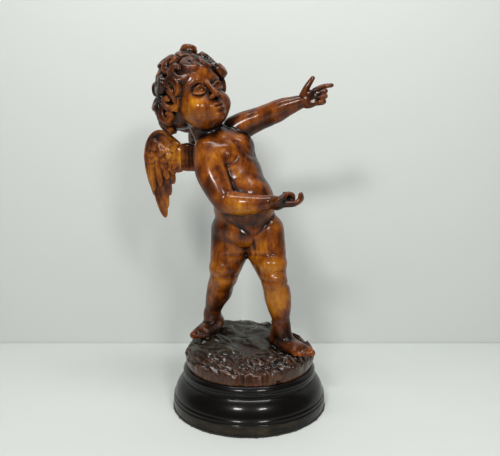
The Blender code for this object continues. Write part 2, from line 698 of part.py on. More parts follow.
def build_plinth(parts, material):
    mesh = bpy.data.meshes.new("plinth")
    outline = bmesh.new()
    verts = [outline.verts.new((radius, 0.0, height)) for radius, height in plinth_profile()]
    for first, second in zip(verts, verts[1:]):
        outline.edges.new((first, second))
    outline.to_mesh(mesh)
    outline.free()
    item = new_object("plinth", mesh, parts, material)
    turn = item.modifiers.new("Turn", "SCREW")
    turn.steps = PLINTH_STEPS
    turn.render_steps = PLINTH_STEPS
    turn.use_merge_vertices = True
    turn.merge_threshold = 0.00001
    turn.use_smooth_shade = True
    return item


def build_felt(parts, material):
    count = 96
    felt = bmesh.new()
    verts = []
    for step in range(count):
        angle = math.tau * step / count
        reach = felt_profile_radius(angle)
        verts.append(felt.verts.new((reach * math.cos(angle), reach * math.sin(angle), 0.0)))
    base = felt.faces.new(verts)
    raised = bmesh.ops.extrude_face_region(felt, geom=[base])
    top = [part for part in raised["geom"] if isinstance(part, bmesh.types.BMVert)]
    bmesh.ops.translate(felt, verts=top, vec=(0.0, 0.0, FELT_TOP))
    bmesh.ops.recalc_face_normals(felt, faces=felt.faces)
    return new_object("felt_pad", mesh_from(felt, "felt_pad"), parts, material)


def main():
    for item in list(bpy.data.objects):
        bpy.data.objects.remove(item, do_unlink=True)
    parts = bpy.data.collections.new("cherub_statue")
    bpy.context.scene.collection.children.link(parts)
    wood = principled("stained_wood", (0.30, 0.11, 0.025), 0.28)
    black = principled("ebonised_wood", (0.012, 0.011, 0.010), 0.22)
    felt = principled("black_felt", (0.010, 0.010, 0.010), 0.95)
    build_carving(parts, wood)
    build_wing("right_wing", RIGHT_WING, parts, wood)
    build_wing("left_wing", LEFT_WING, parts, wood)
    build_plinth(parts, black)
    build_felt(parts, felt)


main()
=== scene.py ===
"""Finished look of the carved wood cherub statue.

The carving is shaped as one block of distances: masses are joined with soft fillets, folds,
locks and gouge marks are cut in, and one closed skin is drawn over the result. The wings are
carved the same way. The plinth is turned and the felt pad is cut and frayed by node trees.
"""
import json
import math

import bmesh
import bpy
import numpy
from mathutils import Matrix, Vector
from mathutils.kdtree import KDTree

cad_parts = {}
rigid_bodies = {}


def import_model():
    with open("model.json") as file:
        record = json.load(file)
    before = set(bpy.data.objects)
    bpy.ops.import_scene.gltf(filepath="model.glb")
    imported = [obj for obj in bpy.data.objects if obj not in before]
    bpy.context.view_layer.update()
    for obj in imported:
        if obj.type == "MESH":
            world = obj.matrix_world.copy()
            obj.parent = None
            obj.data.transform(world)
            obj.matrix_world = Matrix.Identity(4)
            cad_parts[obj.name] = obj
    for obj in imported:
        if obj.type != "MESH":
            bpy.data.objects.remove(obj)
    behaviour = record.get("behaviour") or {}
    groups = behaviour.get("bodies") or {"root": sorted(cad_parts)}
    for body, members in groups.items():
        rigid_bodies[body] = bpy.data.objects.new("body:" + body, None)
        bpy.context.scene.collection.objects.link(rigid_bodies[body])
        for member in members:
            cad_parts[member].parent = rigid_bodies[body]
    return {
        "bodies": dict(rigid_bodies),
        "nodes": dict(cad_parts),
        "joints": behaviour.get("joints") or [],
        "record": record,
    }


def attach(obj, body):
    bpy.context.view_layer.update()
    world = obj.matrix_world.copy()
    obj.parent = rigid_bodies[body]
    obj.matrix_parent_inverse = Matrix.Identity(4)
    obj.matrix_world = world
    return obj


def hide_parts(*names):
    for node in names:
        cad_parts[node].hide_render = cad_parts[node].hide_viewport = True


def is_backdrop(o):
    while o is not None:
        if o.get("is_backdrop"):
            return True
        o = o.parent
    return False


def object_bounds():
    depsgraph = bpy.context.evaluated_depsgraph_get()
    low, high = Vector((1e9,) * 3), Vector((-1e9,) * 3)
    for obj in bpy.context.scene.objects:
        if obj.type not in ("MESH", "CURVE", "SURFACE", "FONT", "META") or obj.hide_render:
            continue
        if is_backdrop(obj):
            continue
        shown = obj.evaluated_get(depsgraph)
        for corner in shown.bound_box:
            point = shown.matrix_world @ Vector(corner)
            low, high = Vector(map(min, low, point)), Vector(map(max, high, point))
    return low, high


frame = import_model()
cad_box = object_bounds()

# Sizes shared with the solids, in metres
FELT_TOP = 0.0016
JOINT_GAP = 0.0003
PLINTH_BOTTOM = FELT_TOP + JOINT_GAP
BAND_RADIUS = 0.1287
PLINTH_TOP = 0.0692
ROCK_BOTTOM = PLINTH_TOP + JOINT_GAP
CARVING_HEIGHT = 0.5280
WING_LENGTH = 0.150

# The carving is drawn on a grid 530 units tall, a wing on one 147 units tall
UNIT = CARVING_HEIGHT / 530.0
WING_UNIT = WING_LENGTH / 147.0
CARVING_STEP = 0.8
WING_STEP = 0.5
CARVING_TRIANGLES = 190000
WING_TRIANGLES = 60000

# The grid's own axes, and a gap that counts as far from the wood
GRID = Matrix()
FAR = 60.0


def turned_frame(origin, turn=0.0, lean=0.0, nod=0.0, tip=0.0):
    """Axes of a body part at an origin, turned by these angles in degrees."""
    axes = Matrix.Rotation(math.radians(-lean), 4, "Y") @ Matrix.Rotation(math.radians(-tip), 4, "X")
    axes = axes @ Matrix.Rotation(math.radians(turn), 4, "Z") @ Matrix.Rotation(math.radians(-nod), 4, "X")
    return Matrix.Translation(origin) @ axes


class Egg:
    """An ellipsoid at a centre in a body frame, turned by spin degrees about its own x, y, z."""

    def __init__(self, frame, centre, radii, spin=(0.0, 0.0, 0.0)):
        place = frame @ Matrix.Translation(Vector(centre))
        for axis, angle in zip("ZYX", reversed(spin)):
            place = place @ Matrix.Rotation(math.radians(angle), 4, axis)
        self.turn = numpy.array(place.to_3x3(), numpy.float32)
        self.centre = numpy.array(place.translation, numpy.float32)
        self.radii = numpy.array(radii, numpy.float32)
        half = numpy.sqrt(((self.turn * self.radii) ** 2).sum(axis=1))
        self.low, self.high = self.centre - half, self.centre + half

    def distance(self, x, y, z):
        x, y, z = x - self.centre[0], y - self.centre[1], z - self.centre[2]
        near = steep = 0.0
        for column in range(3):
            own = x * self.turn[0, column] + y * self.turn[1, column] + z * self.turn[2, column]
            own = (own / self.radii[column]) ** 2
            near = near + own
            steep = steep + own / self.radii[column] ** 2
        near = numpy.sqrt(near)
        scale = numpy.maximum(near / numpy.sqrt(numpy.maximum(steep, 1e-12)), self.radii.min())
        return (near - 1.0) * scale


def eased(stations, parts=4):
    """Stations with extra ones between them, on a smooth line through them."""
    stations = [numpy.array(station, float) for station in stations]
    if len(stations) < 3 or parts < 2:
        return stations
    ends = [2 * stations[0] - stations[1]] + stations + [2 * stations[-1] - stations[-2]]
    line = []
    for before, start, end, after in zip(ends, ends[1:], ends[2:], ends[3:]):
        for part in range(parts):
            share = part / parts
            line.append(0.5 * (2 * start + (end - before) * share
                               + (2 * before - 5 * start + 4 * end - after) * share ** 2
                               + (3 * start - before - 3 * end + after) * share ** 3))
    return line + [stations[-1]]


class Limb:
    """A round limb through (x, y, z, radius) stations; ridges runs strands along it."""

    def __init__(self, frame, stations, parts=4, margin=10.0, ridges=None):
        line = eased(stations, parts)
        self.points = [numpy.array(frame @ Vector(station[:3]), numpy.float32) for station in line]
        self.radii = [float(station[3]) for station in line]
        self.margin = margin
        self.ridges = ridges
        lows = [point - radius for point, radius in zip(self.points, self.radii)]
        highs = [point + radius for point, radius in zip(self.points, self.radii)]
        self.low, self.high = numpy.min(lows, axis=0), numpy.max(highs, axis=0)

    def distance(self, x, y, z):
        nearest = numpy.full((x.size, y.size, z.size), FAR, numpy.float32)
        gap = nearest.copy()
        lines = (x.ravel(), y.ravel(), z.ravel())
        for a, b, start, end in zip(self.points, self.points[1:], self.radii, self.radii[1:]):
            step = b - a
            length = float(step @ step)
            if length < 1e-8:
                continue
            reach = max(start, end) + self.margin
            low, high = numpy.minimum(a, b) - reach, numpy.maximum(a, b) + reach
            cut = tuple(slice(*numpy.searchsorted(line, (lo, hi))) for line, lo, hi in zip(lines, low, high))
            dx, dy, dz = x[cut[0]] - a[0], y[:, cut[1]] - a[1], z[:, :, cut[2]] - a[2]
            share = numpy.clip((dx * step[0] + dy * step[1] + dz * step[2]) / length, 0.0, 1.0)
            dx, dy, dz = dx - share * step[0], dy - share * step[1], dz - share * step[2]
            far = numpy.sqrt(dx * dx + dy * dy + dz * dz)
            own = far - (start + share * (end - start))
            if self.ridges:
                count, depth, up = self.ridges
                along = step / math.sqrt(length)
                side = numpy.cross(up, along)
                side = side / max(float(numpy.linalg.norm(side)), 1e-6)
                top = numpy.cross(along, side)
                across = numpy.arctan2(dx * side[0] + dy * side[1] + dz * side[2],
                                       dx * top[0] + dy * top[1] + dz * top[2])
                own = own + depth * numpy.cos(count * across)
            closer = far < nearest[cut]
            nearest[cut] = numpy.where(closer, far, nearest[cut])
            gap[cut] = numpy.where(closer, own, gap[cut])
        return gap


class Field:
    """A block of distances to the carved surface, negative inside the wood."""

    def __init__(self, low, high, step):
        self.step = float(step)
        self.low = numpy.array(low, float)
        self.count = numpy.ceil((numpy.array(high, float) - self.low) / step).astype(int) + 1
        self.values = numpy.full(self.count, FAR, numpy.float32)

    def window(self, low, high):
        """The block of the grid between two corners, and its x, y and z lines."""
        first = numpy.maximum(numpy.floor((low - self.low) / self.step).astype(int), 0)
        last = numpy.minimum(numpy.ceil((high - self.low) / self.step).astype(int) + 1, self.count)
        last = numpy.maximum(first, last)
        lines = [(start + self.step * numpy.arange(a, b)).astype(numpy.float32)
                 for start, a, b in zip(self.low, first, last)]
        return tuple(slice(a, b) for a, b in zip(first, last)), numpy.ix_(*lines)

    def merge(self, shape, blend, side):
        cut, grid = self.window(shape.low - blend - 2 * self.step, shape.high + blend + 2 * self.step)
        if self.values[cut].size:
            old, new = side * self.values[cut], shape.distance(*grid)
            soft = numpy.maximum(blend - numpy.abs(old - new), 0.0)
            self.values[cut] = side * (numpy.minimum(old, new) - soft * soft / (4.0 * blend))

    def join(self, shape, blend=1.0):
        """Add a shape, with a soft fillet of about this size."""
        self.merge(shape, blend, 1)

    def carve(self, shape, blend=1.0):
        """Cut a shape away, with edges rounded by about this size."""
        self.merge(shape, blend, -1)

    def trim(self, low, high, point, normal):
        """Cut flat, inside a box: what lies beyond the plane is taken away."""
        cut, (x, y, z) = self.window(numpy.array(low, float), numpy.array(high, float))
        beyond = (x - point[0]) * normal[0] + (y - point[1]) * normal[1] + (z - point[2]) * normal[2]
        self.values[cut] = numpy.maximum(self.values[cut], beyond.astype(numpy.float32))

    def sample(self, points):
        """Distances at points, between the grid's own."""
        place = (numpy.asarray(points, float) - self.low) / self.step
        place = numpy.clip(place, 0.0, self.count - 1.001)
        base = numpy.floor(place).astype(int)
        share = place - base
        total = 0.0
        for corner in numpy.ndindex(2, 2, 2):
            weight = 1.0
            for axis, far in enumerate(corner):
                weight = weight * (share[..., axis] if far else 1 - share[..., axis])
            total = total + weight * self.values[tuple(base[..., axis] + corner[axis] for axis in range(3))]
        return total

    def normal(self, points):
        points = numpy.asarray(points, float)
        slope = []
        for axis in range(3):
            shift = numpy.zeros(3)
            shift[axis] = self.step
            slope.append(self.sample(points + shift) - self.sample(points - shift))
        slope = numpy.stack(slope, axis=-1)
        return slope / numpy.maximum(numpy.linalg.norm(slope, axis=-1, keepdims=True), 1e-9)

    def along(self, start, direction, reach):
        """A line in half steps of the grid: its start, direction, steps and the distances there."""
        start, direction = numpy.array(start, float), numpy.array(direction, float)
        direction = direction / numpy.linalg.norm(direction)
        steps = numpy.arange(0.0, reach, self.step * 0.5)
        return start, direction, steps, self.sample(start + steps[:, None] * direction)

    def way_in(self, start, direction, reach):
        """First point on the surface along a line from outside, or None."""
        start, direction, steps, found = self.along(start, direction, reach)
        inside = numpy.nonzero(found < 0.0)[0]
        if not len(inside) or inside[0] == 0:
            return None
        last = inside[0]
        share = found[last - 1] / (found[last - 1] - found[last])
        return start + direction * (steps[last - 1] + share * (steps[last] - steps[last - 1]))

    def way_out(self, start, direction, reach):
        """Where a line from inside the wood comes out, or None."""
        start, direction, steps, found = self.along(start, direction, reach)
        outside = numpy.nonzero(found > 0.0)[0]
        return start + direction * steps[outside[0]] if len(outside) else None

    def block(self, low, high):
        """A copy of the part between two corners."""
        cut = self.window(numpy.array(low, float), numpy.array(high, float))[0]
        first = numpy.array([side.start for side in cut])
        return field_of(self.values[cut].copy(), self.low + self.step * first, self.step)


def field_of(values, low, step):
    """A field with these values."""
    field = Field(low, low, step)
    field.values, field.count = values, numpy.array(values.shape)
    return field


def quads_of(field):
    """Points and four-sided faces of the surface where the distance is zero."""
    values = field.values
    inside = values < 0.0
    shape = numpy.array(values.shape)
    cells, spots, faces = [], [], []
    for axis in range(3):
        lower = [slice(None)] * 3
        upper = [slice(None)] * 3
        lower[axis], upper[axis] = slice(0, -1), slice(1, None)
        crossing = inside[tuple(lower)] != inside[tuple(upper)]
        first = numpy.stack(numpy.nonzero(crossing), axis=1)
        others = [other for other in range(3) if other != axis]
        keep = (first[:, others[0]] > 0) & (first[:, others[1]] > 0)
        keep &= (first[:, others[0]] < shape[others[0]] - 1) & (first[:, others[1]] < shape[others[1]] - 1)
        first = first[keep]
        second = first.copy()
        second[:, axis] += 1
        low = values[tuple(first.T)]
        high = values[tuple(second.T)]
        spot = first.astype(numpy.float64)
        spot[:, axis] += low / (low - high)
        ring = []
        for back_a, back_b in ((0, 0), (1, 0), (1, 1), (0, 1)):
            cell = first.copy()
            cell[:, others[0]] -= back_a
            cell[:, others[1]] -= back_b
            ring.append((cell[:, 0] * shape[1] + cell[:, 1]) * shape[2] + cell[:, 2])
        ring = numpy.stack(ring, axis=1)
        flip = (low < 0.0) == (axis == 1)
        ring[flip] = ring[flip][:, ::-1]
        faces.append(ring)
        cells.append(ring.ravel())
        spots.append(numpy.repeat(spot, 4, axis=0))
    faces = numpy.concatenate(faces)
    cells = numpy.concatenate(cells)
    spots = numpy.concatenate(spots)
    names, place = numpy.unique(cells, return_inverse=True)
    share = numpy.bincount(place, minlength=len(names))
    points = [numpy.bincount(place, spots[:, axis], len(names)) / share for axis in range(3)]
    return numpy.stack(points, axis=1) * field.step + field.low, place.reshape(-1, 4)


def mesh_of(name, points, faces):
    mesh = bpy.data.meshes.new(name)
    mesh.vertices.add(len(points))
    mesh.vertices.foreach_set("co", points.astype(numpy.float32).ravel())
    mesh.loops.add(faces.size)
    mesh.loops.foreach_set("vertex_index", faces.astype(numpy.int32).ravel())
    mesh.polygons.add(len(faces))
    mesh.polygons.foreach_set("loop_start", numpy.arange(len(faces), dtype=numpy.int32) * faces.shape[1])
    mesh.update(calc_edges=True)
    mesh.validate()
    return mesh


def groove(field, points, width, depth, blend):
    """Cut a groove along points of the surface, narrow and shallow at its ends."""
    points = numpy.array(points, float)
    swell = numpy.sin(numpy.linspace(0.0, math.pi, len(points)))
    radii = width * (0.55 + 0.45 * swell)
    centres = points + field.normal(points) * (radii - depth * (0.25 + 0.75 * swell))[:, None]
    field.carve(Limb(GRID, [(*centre, radius) for centre, radius in zip(centres, radii)], 2, 6.0), blend)


def fold_round(field, frame, centre, start, end, width, depth, blend, slant=0.0, count=16):
    """A fat fold part of the way round a limb; angles from the viewer's side, to the putto's left."""
    middle, points = frame @ Vector(centre), []
    for angle in numpy.radians(numpy.linspace(start, end, count)):
        way = frame.to_3x3() @ Vector((math.sin(angle), -math.cos(angle), slant * math.sin(angle)))
        points.append(field.way_out(middle, way, 80.0))
    points = [point for point in points if point is not None]
    if len(points) > 2:
        groove(field, points, width, depth, blend)


def stroke(field, frame, spots, width, depth, blend, reach=90.0):
    """A groove drawn from the front of a frame, through (x, z) spots."""
    look = frame.to_3x3() @ Vector((0.0, 1.0, 0.0))
    starts = [frame @ Vector((spot[0], -reach, spot[1])) for spot in eased(spots, 5)]
    points = [field.way_in(start, look, reach * 1.4) for start in starts]
    points = [point for point in points if point is not None]
    if len(points) > 2:
        groove(field, points, width, depth, blend)


def eggs(field, frame, *rows):
    """Join ellipsoids, each given as centre, radii, fillet and, where it is turned, spin."""
    for centre, radii, blend, *spin in rows:
        field.join(Egg(frame, centre, radii, *spin), blend)


def limbs(field, frame, *rows):
    """Join limbs, each given as stations and fillet."""
    for stations, blend in rows:
        field.join(Limb(frame, stations), blend)


# The rock: its size, the share of its radius at each height, and the waves of its outline
ROCK_RADIUS = 106.0
ROCK_LOW, ROCK_HIGH = (-118, -118, -8), (118, 118, 66)
SIDE_HEIGHTS = (-8, 0, 10, 20, 28, 36, 60)
SIDE_SHARES = (1.0, 1.0, 1.015, 1.02, 0.985, 0.93, 0.86)
OUTLINE_WAVES = ((5, 1.9, 0.014), (11, -2.3, 0.010), (23, 0.0, 0.006))
SHOULDER_EASE = 9.0

# Humps and dips of its top: centre, reach and rise
HUMPS = ((-5, 62, 34, 30, 5.0), (8, -20, 26, 22, -4.0), (-66, 15, 30, 42, 4.0), (74, 0, 26, 60, -10.0))

# The long way of the tool cuts in its front, how far they move the surface and where they fade out
CUT_WAY = numpy.array((0.70, -0.48, -0.53))
CUT_DEPTH = 2.2
CUT_LOW = 14
GOLDEN_SHARE = 0.61803

# The upright gouge strokes round its foot
STROKES = 170
STROKE_RADIUS = 3.4
STROKE_DEPTH = 0.35


class Slab:
    """A turned rock core: radius by height, with a broken outline."""

    low, high = numpy.array(ROCK_LOW, float), numpy.array(ROCK_HIGH, float)

    def distance(self, x, y, z):
        angle = numpy.arctan2(y, x)
        broken = sum(height * numpy.sin(count * angle + start) for count, start, height in OUTLINE_WAVES)
        side = numpy.interp(z.ravel(), SIDE_HEIGHTS, SIDE_SHARES).astype(numpy.float32)
        side = ROCK_RADIUS * (side[None, None, :] * (1.0 + broken * numpy.clip(z / 12.0, 0.0, 1.0)))
        wall, top = numpy.sqrt(x * x + y * y) - side, (z - rock_top(x, y)) * 0.8
        soft = numpy.maximum(SHOULDER_EASE - numpy.abs(wall - top), 0.0)
        return numpy.maximum(wall, top) + soft * soft / (4.0 * SHOULDER_EASE)


def rock_top(x, y):
    """Height of the rock's top, rising to the back, with humps and hollows."""
    height = 36.5 + 0.085 * (y + 20.0)
    height = height + 4.0 * numpy.sin(x / 17.0 + 0.6) * numpy.sin(y / 23.0 + 1.0)
    height = height + 2.6 * numpy.sin(x / 8.5 + y / 14.0 + 2.0)
    for middle_x, middle_y, reach_x, reach_y, rise in HUMPS:
        away = ((x - middle_x) / reach_x) ** 2 + ((y - middle_y) / reach_y) ** 2
        height = height + rise * numpy.exp(-away)
    # in front the rock is hewn down to a low rim, later where the left foot stands
    lip = 56.0 + 20.0 * numpy.clip((x - 40.0) / 40.0, 0.0, 1.0)
    hewn = numpy.maximum(-y - lip, 0.0)
    return numpy.where(hewn > 0.0, numpy.minimum(height, 34.0 - 0.42 * hewn), height)


def hew(field, cuts, low, high, reach):
    """Tilt the surface to a flat cut round each given point, with sharp steps between the cuts."""
    slender = numpy.identity(3) - 0.60 * numpy.outer(CUT_WAY, CUT_WAY)
    window, grid = field.window(numpy.array(low, float), numpy.array(high, float))
    near = numpy.nonzero(numpy.abs(field.values[window]) < reach)
    spots = numpy.stack([line.ravel()[index] for line, index in zip(grid, near)], axis=1)
    tree = KDTree(len(cuts))
    for index, (point, _) in enumerate(cuts):
        tree.insert(slender @ point, index)
    tree.balance()
    owner = numpy.array([tree.find(spot)[1] for spot in spots @ slender])
    middles, tilts = (numpy.array(column) for column in zip(*cuts))
    shift = ((spots - middles[owner]) * tilts[owner]).sum(axis=1)
    fade = numpy.clip((spots[:, 2] - low[2]) / 7.0, 0.0, 1.0)
    field.values[window][near] += (fade * numpy.clip(shift, -CUT_DEPTH, CUT_DEPTH)).astype(numpy.float32)


def ledges(field, rng):
    """Long shallow steps broken out of the rock's top."""
    for _ in range(46):
        angle = math.tau * rng.random()
        reach = ROCK_RADIUS * 0.92 * math.sqrt(rng.random())
        point = field.way_in((math.cos(angle) * reach, math.sin(angle) * reach, 90.0), (0, 0, -1), 100.0)
        if point is None:
            continue
        size = 9 + 9 * rng.random()
        depth = 1.2 + 2.2 * rng.random()
        spin = Matrix.Rotation(0.7 * rng.normal(), 4, "Z") @ Matrix.Rotation(0.30 * rng.normal(), 4, "X")
        frame = Matrix.Translation(point + numpy.array((0, 0, size * 0.8 - depth))) @ spin
        field.carve(Egg(frame, (0, 0, 0), (size * 2.8, size * 0.8, size * 0.8)), 1.2)


def tool_cuts(field, rng):
    """Flat cuts, many on the sloping front and rim and few on the upper face."""
    cuts = []
    for index in range(1500):
        angle = math.tau * (index * GOLDEN_SHARE % 1.0)
        out = (math.cos(angle), math.sin(angle), 1.3 * rng.random() ** 1.5)
        point = field.way_out((0, 0, 10.0), out, 130.0)
        if point is None or point[2] < 15:
            continue
        rim = point[2] < 34 and math.hypot(point[0], point[1]) > 58
        if rim or index % 12 == 0:
            tilt = (0.55 if rim else 0.06) * rng.normal(size=3)
            cuts.append((point, tilt - 0.7 * CUT_WAY * tilt.dot(CUT_WAY)))
    hew(field, cuts, (*ROCK_LOW[:2], CUT_LOW), ROCK_HIGH, 4.0)


def foot_strokes(field, rng):
    """Upright gouge strokes round the rock's foot."""
    for index in range(STROKES):
        angle = math.tau * (index + 0.5 * rng.random()) / STROKES
        low, high = -6.0 + 4 * rng.random(), 13.0 + 5.0 * rng.random()
        lean = 0.03 * rng.normal()
        ends = []
        for height, turn in ((low, angle), (high, angle + lean)):
            out = (math.cos(turn), math.sin(turn), 0.0)
            point = field.way_out((out[0] * 60, out[1] * 60, max(height, 2.0)), out, 80.0)
            if point is not None:
                point[2] = height
                inset = STROKE_RADIUS - STROKE_DEPTH - STROKE_DEPTH * rng.random()
                ends.append(point + numpy.array(out) * inset)
        if len(ends) == 2:
            field.carve(Limb(GRID, [(*ends[0], STROKE_RADIUS), (*ends[1], 3.0)], 1, 4.0), 0.4)


def rock(field):
    field.join(Slab(), 1.0)
    rng = numpy.random.default_rng(7)
    ledges(field, rng)
    tool_cuts(field, rng)
    foot_strokes(field, rng)


# Figure
PELVIS = turned_frame((-6, 4, 232), 16, 4)
CHEST = turned_frame((-37, 8, 348), 38, 22)
HEAD = turned_frame((-91, 6, 451), 37, 21, 5)


def torso(field):
    eggs(field, PELVIS, ((0, 2, 3), (54, 43, 38), 1))
    limbs(field, GRID, (((-6, 10, 236, 42), (-8, 5, 268, 43), (-14, 3, 300, 42), (-25, 6, 328, 40),
                         (-38, 10, 352, 36)), 8))
    for side in (-1, 1):
        eggs(field, PELVIS, ((side * 24, 20, -8), (29, 28, 32), 9, (0, side * 10, 0)))
    eggs(field, GRID, ((-8, -3, 266), (51, 46, 38), 8), ((-7, -9, 286), (46, 42, 36), 10))
    eggs(field, CHEST, ((4, 2, -32), (48, 39, 34), 10), ((2, 0, -2), (51, 37, 38), 10),
         ((0, 6, 26), (46, 31, 22), 12))
    for side in (-1, 1):
        eggs(field, CHEST, ((side * 22 + 2, -21, 8), (24, 16, 19), 7, (12, 0, side * 14)),
             ((side * 23, 25, 12), (23, 14, 27), 9, (0, side * -8, 0)),
             ((side * 23 + 2, -37, 3), (2.8, 2.4, 2.8), 1.5))
    eggs(field, PELVIS, ((0, -26, -8), (30, 16, 20), 9))


def creases(field):
    # the V where belly and thighs meet, and the line between the thighs
    stroke(field, PELVIS, [(-38, 18), (-28, 11), (-18, 4), (-8, -4), (1, -8), (10, -5), (20, 3), (30, 10),
                           (40, 18)], 2.8, 1.2, 4.0)
    stroke(field, PELVIS, [(2, -12), (2, -22), (3, -34), (2, -48)], 2.8, 1.8, 2.6)
    # navel
    stroke(field, GRID, [(-2, 282), (-1, 279), (0, 276)], 3.4, 3.2, 2.5)
    # under the chest, and down its middle
    stroke(field, CHEST, [(-9, -7), (-15, -11), (-23, -13), (-31, -11)], 3.4, 1.1, 4.5)
    stroke(field, CHEST, [(13, -7), (18, -11), (27, -13), (35, -10)], 3.4, 1.1, 4.5)
    stroke(field, CHEST, [(2, 18), (2, 10), (2, 2), (3, -6)], 6.0, 0.7, 7.0)


def legs(field):
    # thighs, and the flesh on their inner sides
    limbs(field, GRID, (((-33, 6, 226, 31), (-35, 3, 200, 30), (-39, 0, 172, 26.5), (-42, 0, 150, 22)), 6),
          (((27, 0, 226, 32), (31, -7, 200, 30), (36, -17, 172, 26), (40, -28, 150, 20.5)), 6),
          (((-17, 2, 214, 22), (-22, 1, 188, 20), (-30, 1, 164, 14)), 8),
          (((14, -1, 214, 22), (18, -7, 188, 20), (28, -14, 162, 14)), 8))
    # the crotch, the rolls above the knees, and the knees
    eggs(field, GRID, ((-1, 2, 206), (12, 18, 15), 9),
         ((-41, -6, 165), (26, 24, 18), 6), ((36, -22, 176), (25.5, 25, 17), 6),
         ((-41, -14, 148), (15, 12, 12), 7), ((48, -40, 153), (10, 11, 10), 5))
    # lower legs, with the calves behind
    limbs(field, GRID, (((-43, 2, 150, 22), (-50, 11, 130, 21.5), (-58, 20, 104, 18), (-64, 27, 82, 13.5),
                         (-65, 30, 72, 13)), 6))
    eggs(field, GRID, ((-48, 20, 124), (19, 17, 24), 8))
    limbs(field, GRID, (((42, -28, 148, 20), (46, -25, 128, 22), (50, -24, 104, 20), (53, -23, 82, 14.5),
                         (54, -23, 72, 13.5)), 6))
    eggs(field, GRID, ((47, -14, 122), (20, 18, 24), 8))


# Folds round the legs: centre, start and end angle, width, depth, fillet and slant
LEG_FOLDS = (
    ((33, -12, 193), -75, 20, 3.6, 1.7, 3.2, 0.10),
    ((-37, 1, 190), -10, 70, 3.2, 1.1, 3.5, -0.05),
    ((41, -26, 150), -80, 50, 3.6, 1.7, 3.2, 0.0),
    ((41, -24, 143), 40, 140, 3.5, 1.8, 3.0, 0.0),
    ((-42, 0, 152), -50, 80, 3.4, 1.3, 3.6, 0.1),
    ((54, -23, 77), -150, 150, 3.0, 1.6, 2.5, 0.05),
    ((-65, 29, 77), -150, 150, 3.0, 1.6, 2.5, 0.05),
)


def body_folds(field):
    for fold in LEG_FOLDS:
        fold_round(field, GRID, *fold)
    # the cleft and the folds behind
    back = PELVIS @ Matrix.Rotation(math.pi, 4, "Z")
    stroke(field, back, [(0, 22), (0, 8), (0, -8), (1, -26), (1, -40)], 5.0, 4.2, 4.0)
    for side in (1, -1):
        fold = [(side * x, z) for x, z in ((4, -34), (18, -40), (36, -38), (48, -30))]
        stroke(field, back, fold, 4.0, 3.0, 3.5)
    # the line of the spine, found from inside the body
    line = [CHEST @ Vector((0, 38, 30)), CHEST @ Vector((0, 38, 6)), CHEST @ Vector((0, 38, -22)),
            (-14, 46, 300), PELVIS @ Vector((0, 44, 42)), PELVIS @ Vector((0, 46, 26))]
    inner = [(point[0], point[1] - 40.0, point[2]) for point in line]
    spine = [field.way_out(start, (0, 1, 0), 90.0) for start in eased(inner, 4)]
    groove(field, [point for point in spine if point is not None], 7.0, 1.8, 7.0)


def foot(field, ankle, heel, toe, big_toe_side):
    ankle, heel, toe = Vector(ankle), Vector(heel), Vector(toe)
    ahead = (toe - heel).normalized()
    side = ahead.cross(Vector((0, 0, 1))).normalized() * big_toe_side
    tread = heel.lerp(toe, 0.74)
    limbs(field, GRID, (((*ankle, 13.5), (*ankle.lerp(heel, 0.6), 13), (*heel, 12.5)), 5),
          (((*ankle, 13.5), (*heel.lerp(toe, 0.40), 13), (*tread, 9.5)), 6))
    for offset in (-8, 0, 8):
        middle, end = heel.lerp(tread, 0.5) + side * offset, tread + side * offset
        limbs(field, GRID, (((*heel, 9.5), (*middle, 9.5), (*end, 8.5)), 4))
    for index in range(5):
        reach = (toe - tread) * (1.0 - 0.10 * index - 0.02 * index * index)
        size = 6.0 if index == 0 else 4.7 - 0.3 * index
        start = tread + side * (10.8 - index * 5.7)
        end = start + reach + Vector((0, 0, size - 7.5))
        middle = start.lerp(end, 0.55) + Vector((0, 0, 1.6))
        limbs(field, GRID, (((*start, size + 0.4), (*middle, size * 0.92), (*end, size)), 1.2))
        nail = end + ahead * size * 0.35 + Vector((0, 0, size * 0.80))
        eggs(field, GRID, (nail, (size * 0.5, size * 0.5, size * 0.28), 0.5))


def feet(field):
    foot(field, (-65, 29, 78), (-57, 45, 58), (-86, -8, 49), 1)
    foot(field, (53, -23, 74), (46, -9, 44), (91, -71, 40), -1)


def own_axes(origin, x_way, z_way):
    """Axes at an origin, with x along one way and z as near to another as can be."""
    x_axis = Vector(x_way).normalized()
    z_axis = (Vector(z_way) - x_axis * x_axis.dot(Vector(z_way))).normalized()
    axes = Matrix((x_axis, z_axis.cross(x_axis), z_axis)).transposed().to_4x4()
    return Matrix.Translation(origin) @ axes


# Hands: x along the fingers and z out of the palm; then each finger's joints, seen from its palm
RIGHT_HAND = own_axes((38, -70, 278), (1.0, -0.06, 0.06), (-0.06, -0.12, 1.0))
LEFT_HAND = own_axes((89, -5, 439), (0.92, -0.05, 0.36), (-0.05, -1.0, 0.0))
RIGHT_WRIST = own_axes((35, -69, 279), (0, 1, 0), (-1, 0.06, 0))
LEFT_WRIST = own_axes((86, -3, 438.5), (0, 1, 0), (-0.92, 0.05, -0.36))
RIGHT_FINGERS = (
    ((20, 9, -1), (31, 9, -1), (39, 8, 4), (41, 7, 12)),
    ((22, 3, -1), (34, 3, -1), (42, 3, 5), (42, 2, 12)),
    ((20, -4, 0), (28, -4, 2), (29, -4, 10), (23, -4, 13)),
    ((17, -10, 1), (23, -10, 3), (23, -10, 10), (17, -9, 12)),
)
RIGHT_THUMB = ((0, 8, 3), (8, 13, 7), (15, 11, 11), (19, 8, 13))
LEFT_FINGERS = (
    ((22, 9, 0), (33, 10, 1), (42, 9, 1), (50, 7, 0)),
    ((24, 3, 0), (34, 2, 3), (36, 1, 12), (29, 1, 14)),
    ((23, -4, 0), (32, -6, 3), (33, -6, 12), (26, -6, 14)),
    ((19, -10, 0), (27, -13, 3), (28, -13, 11), (22, -12, 13)),
)
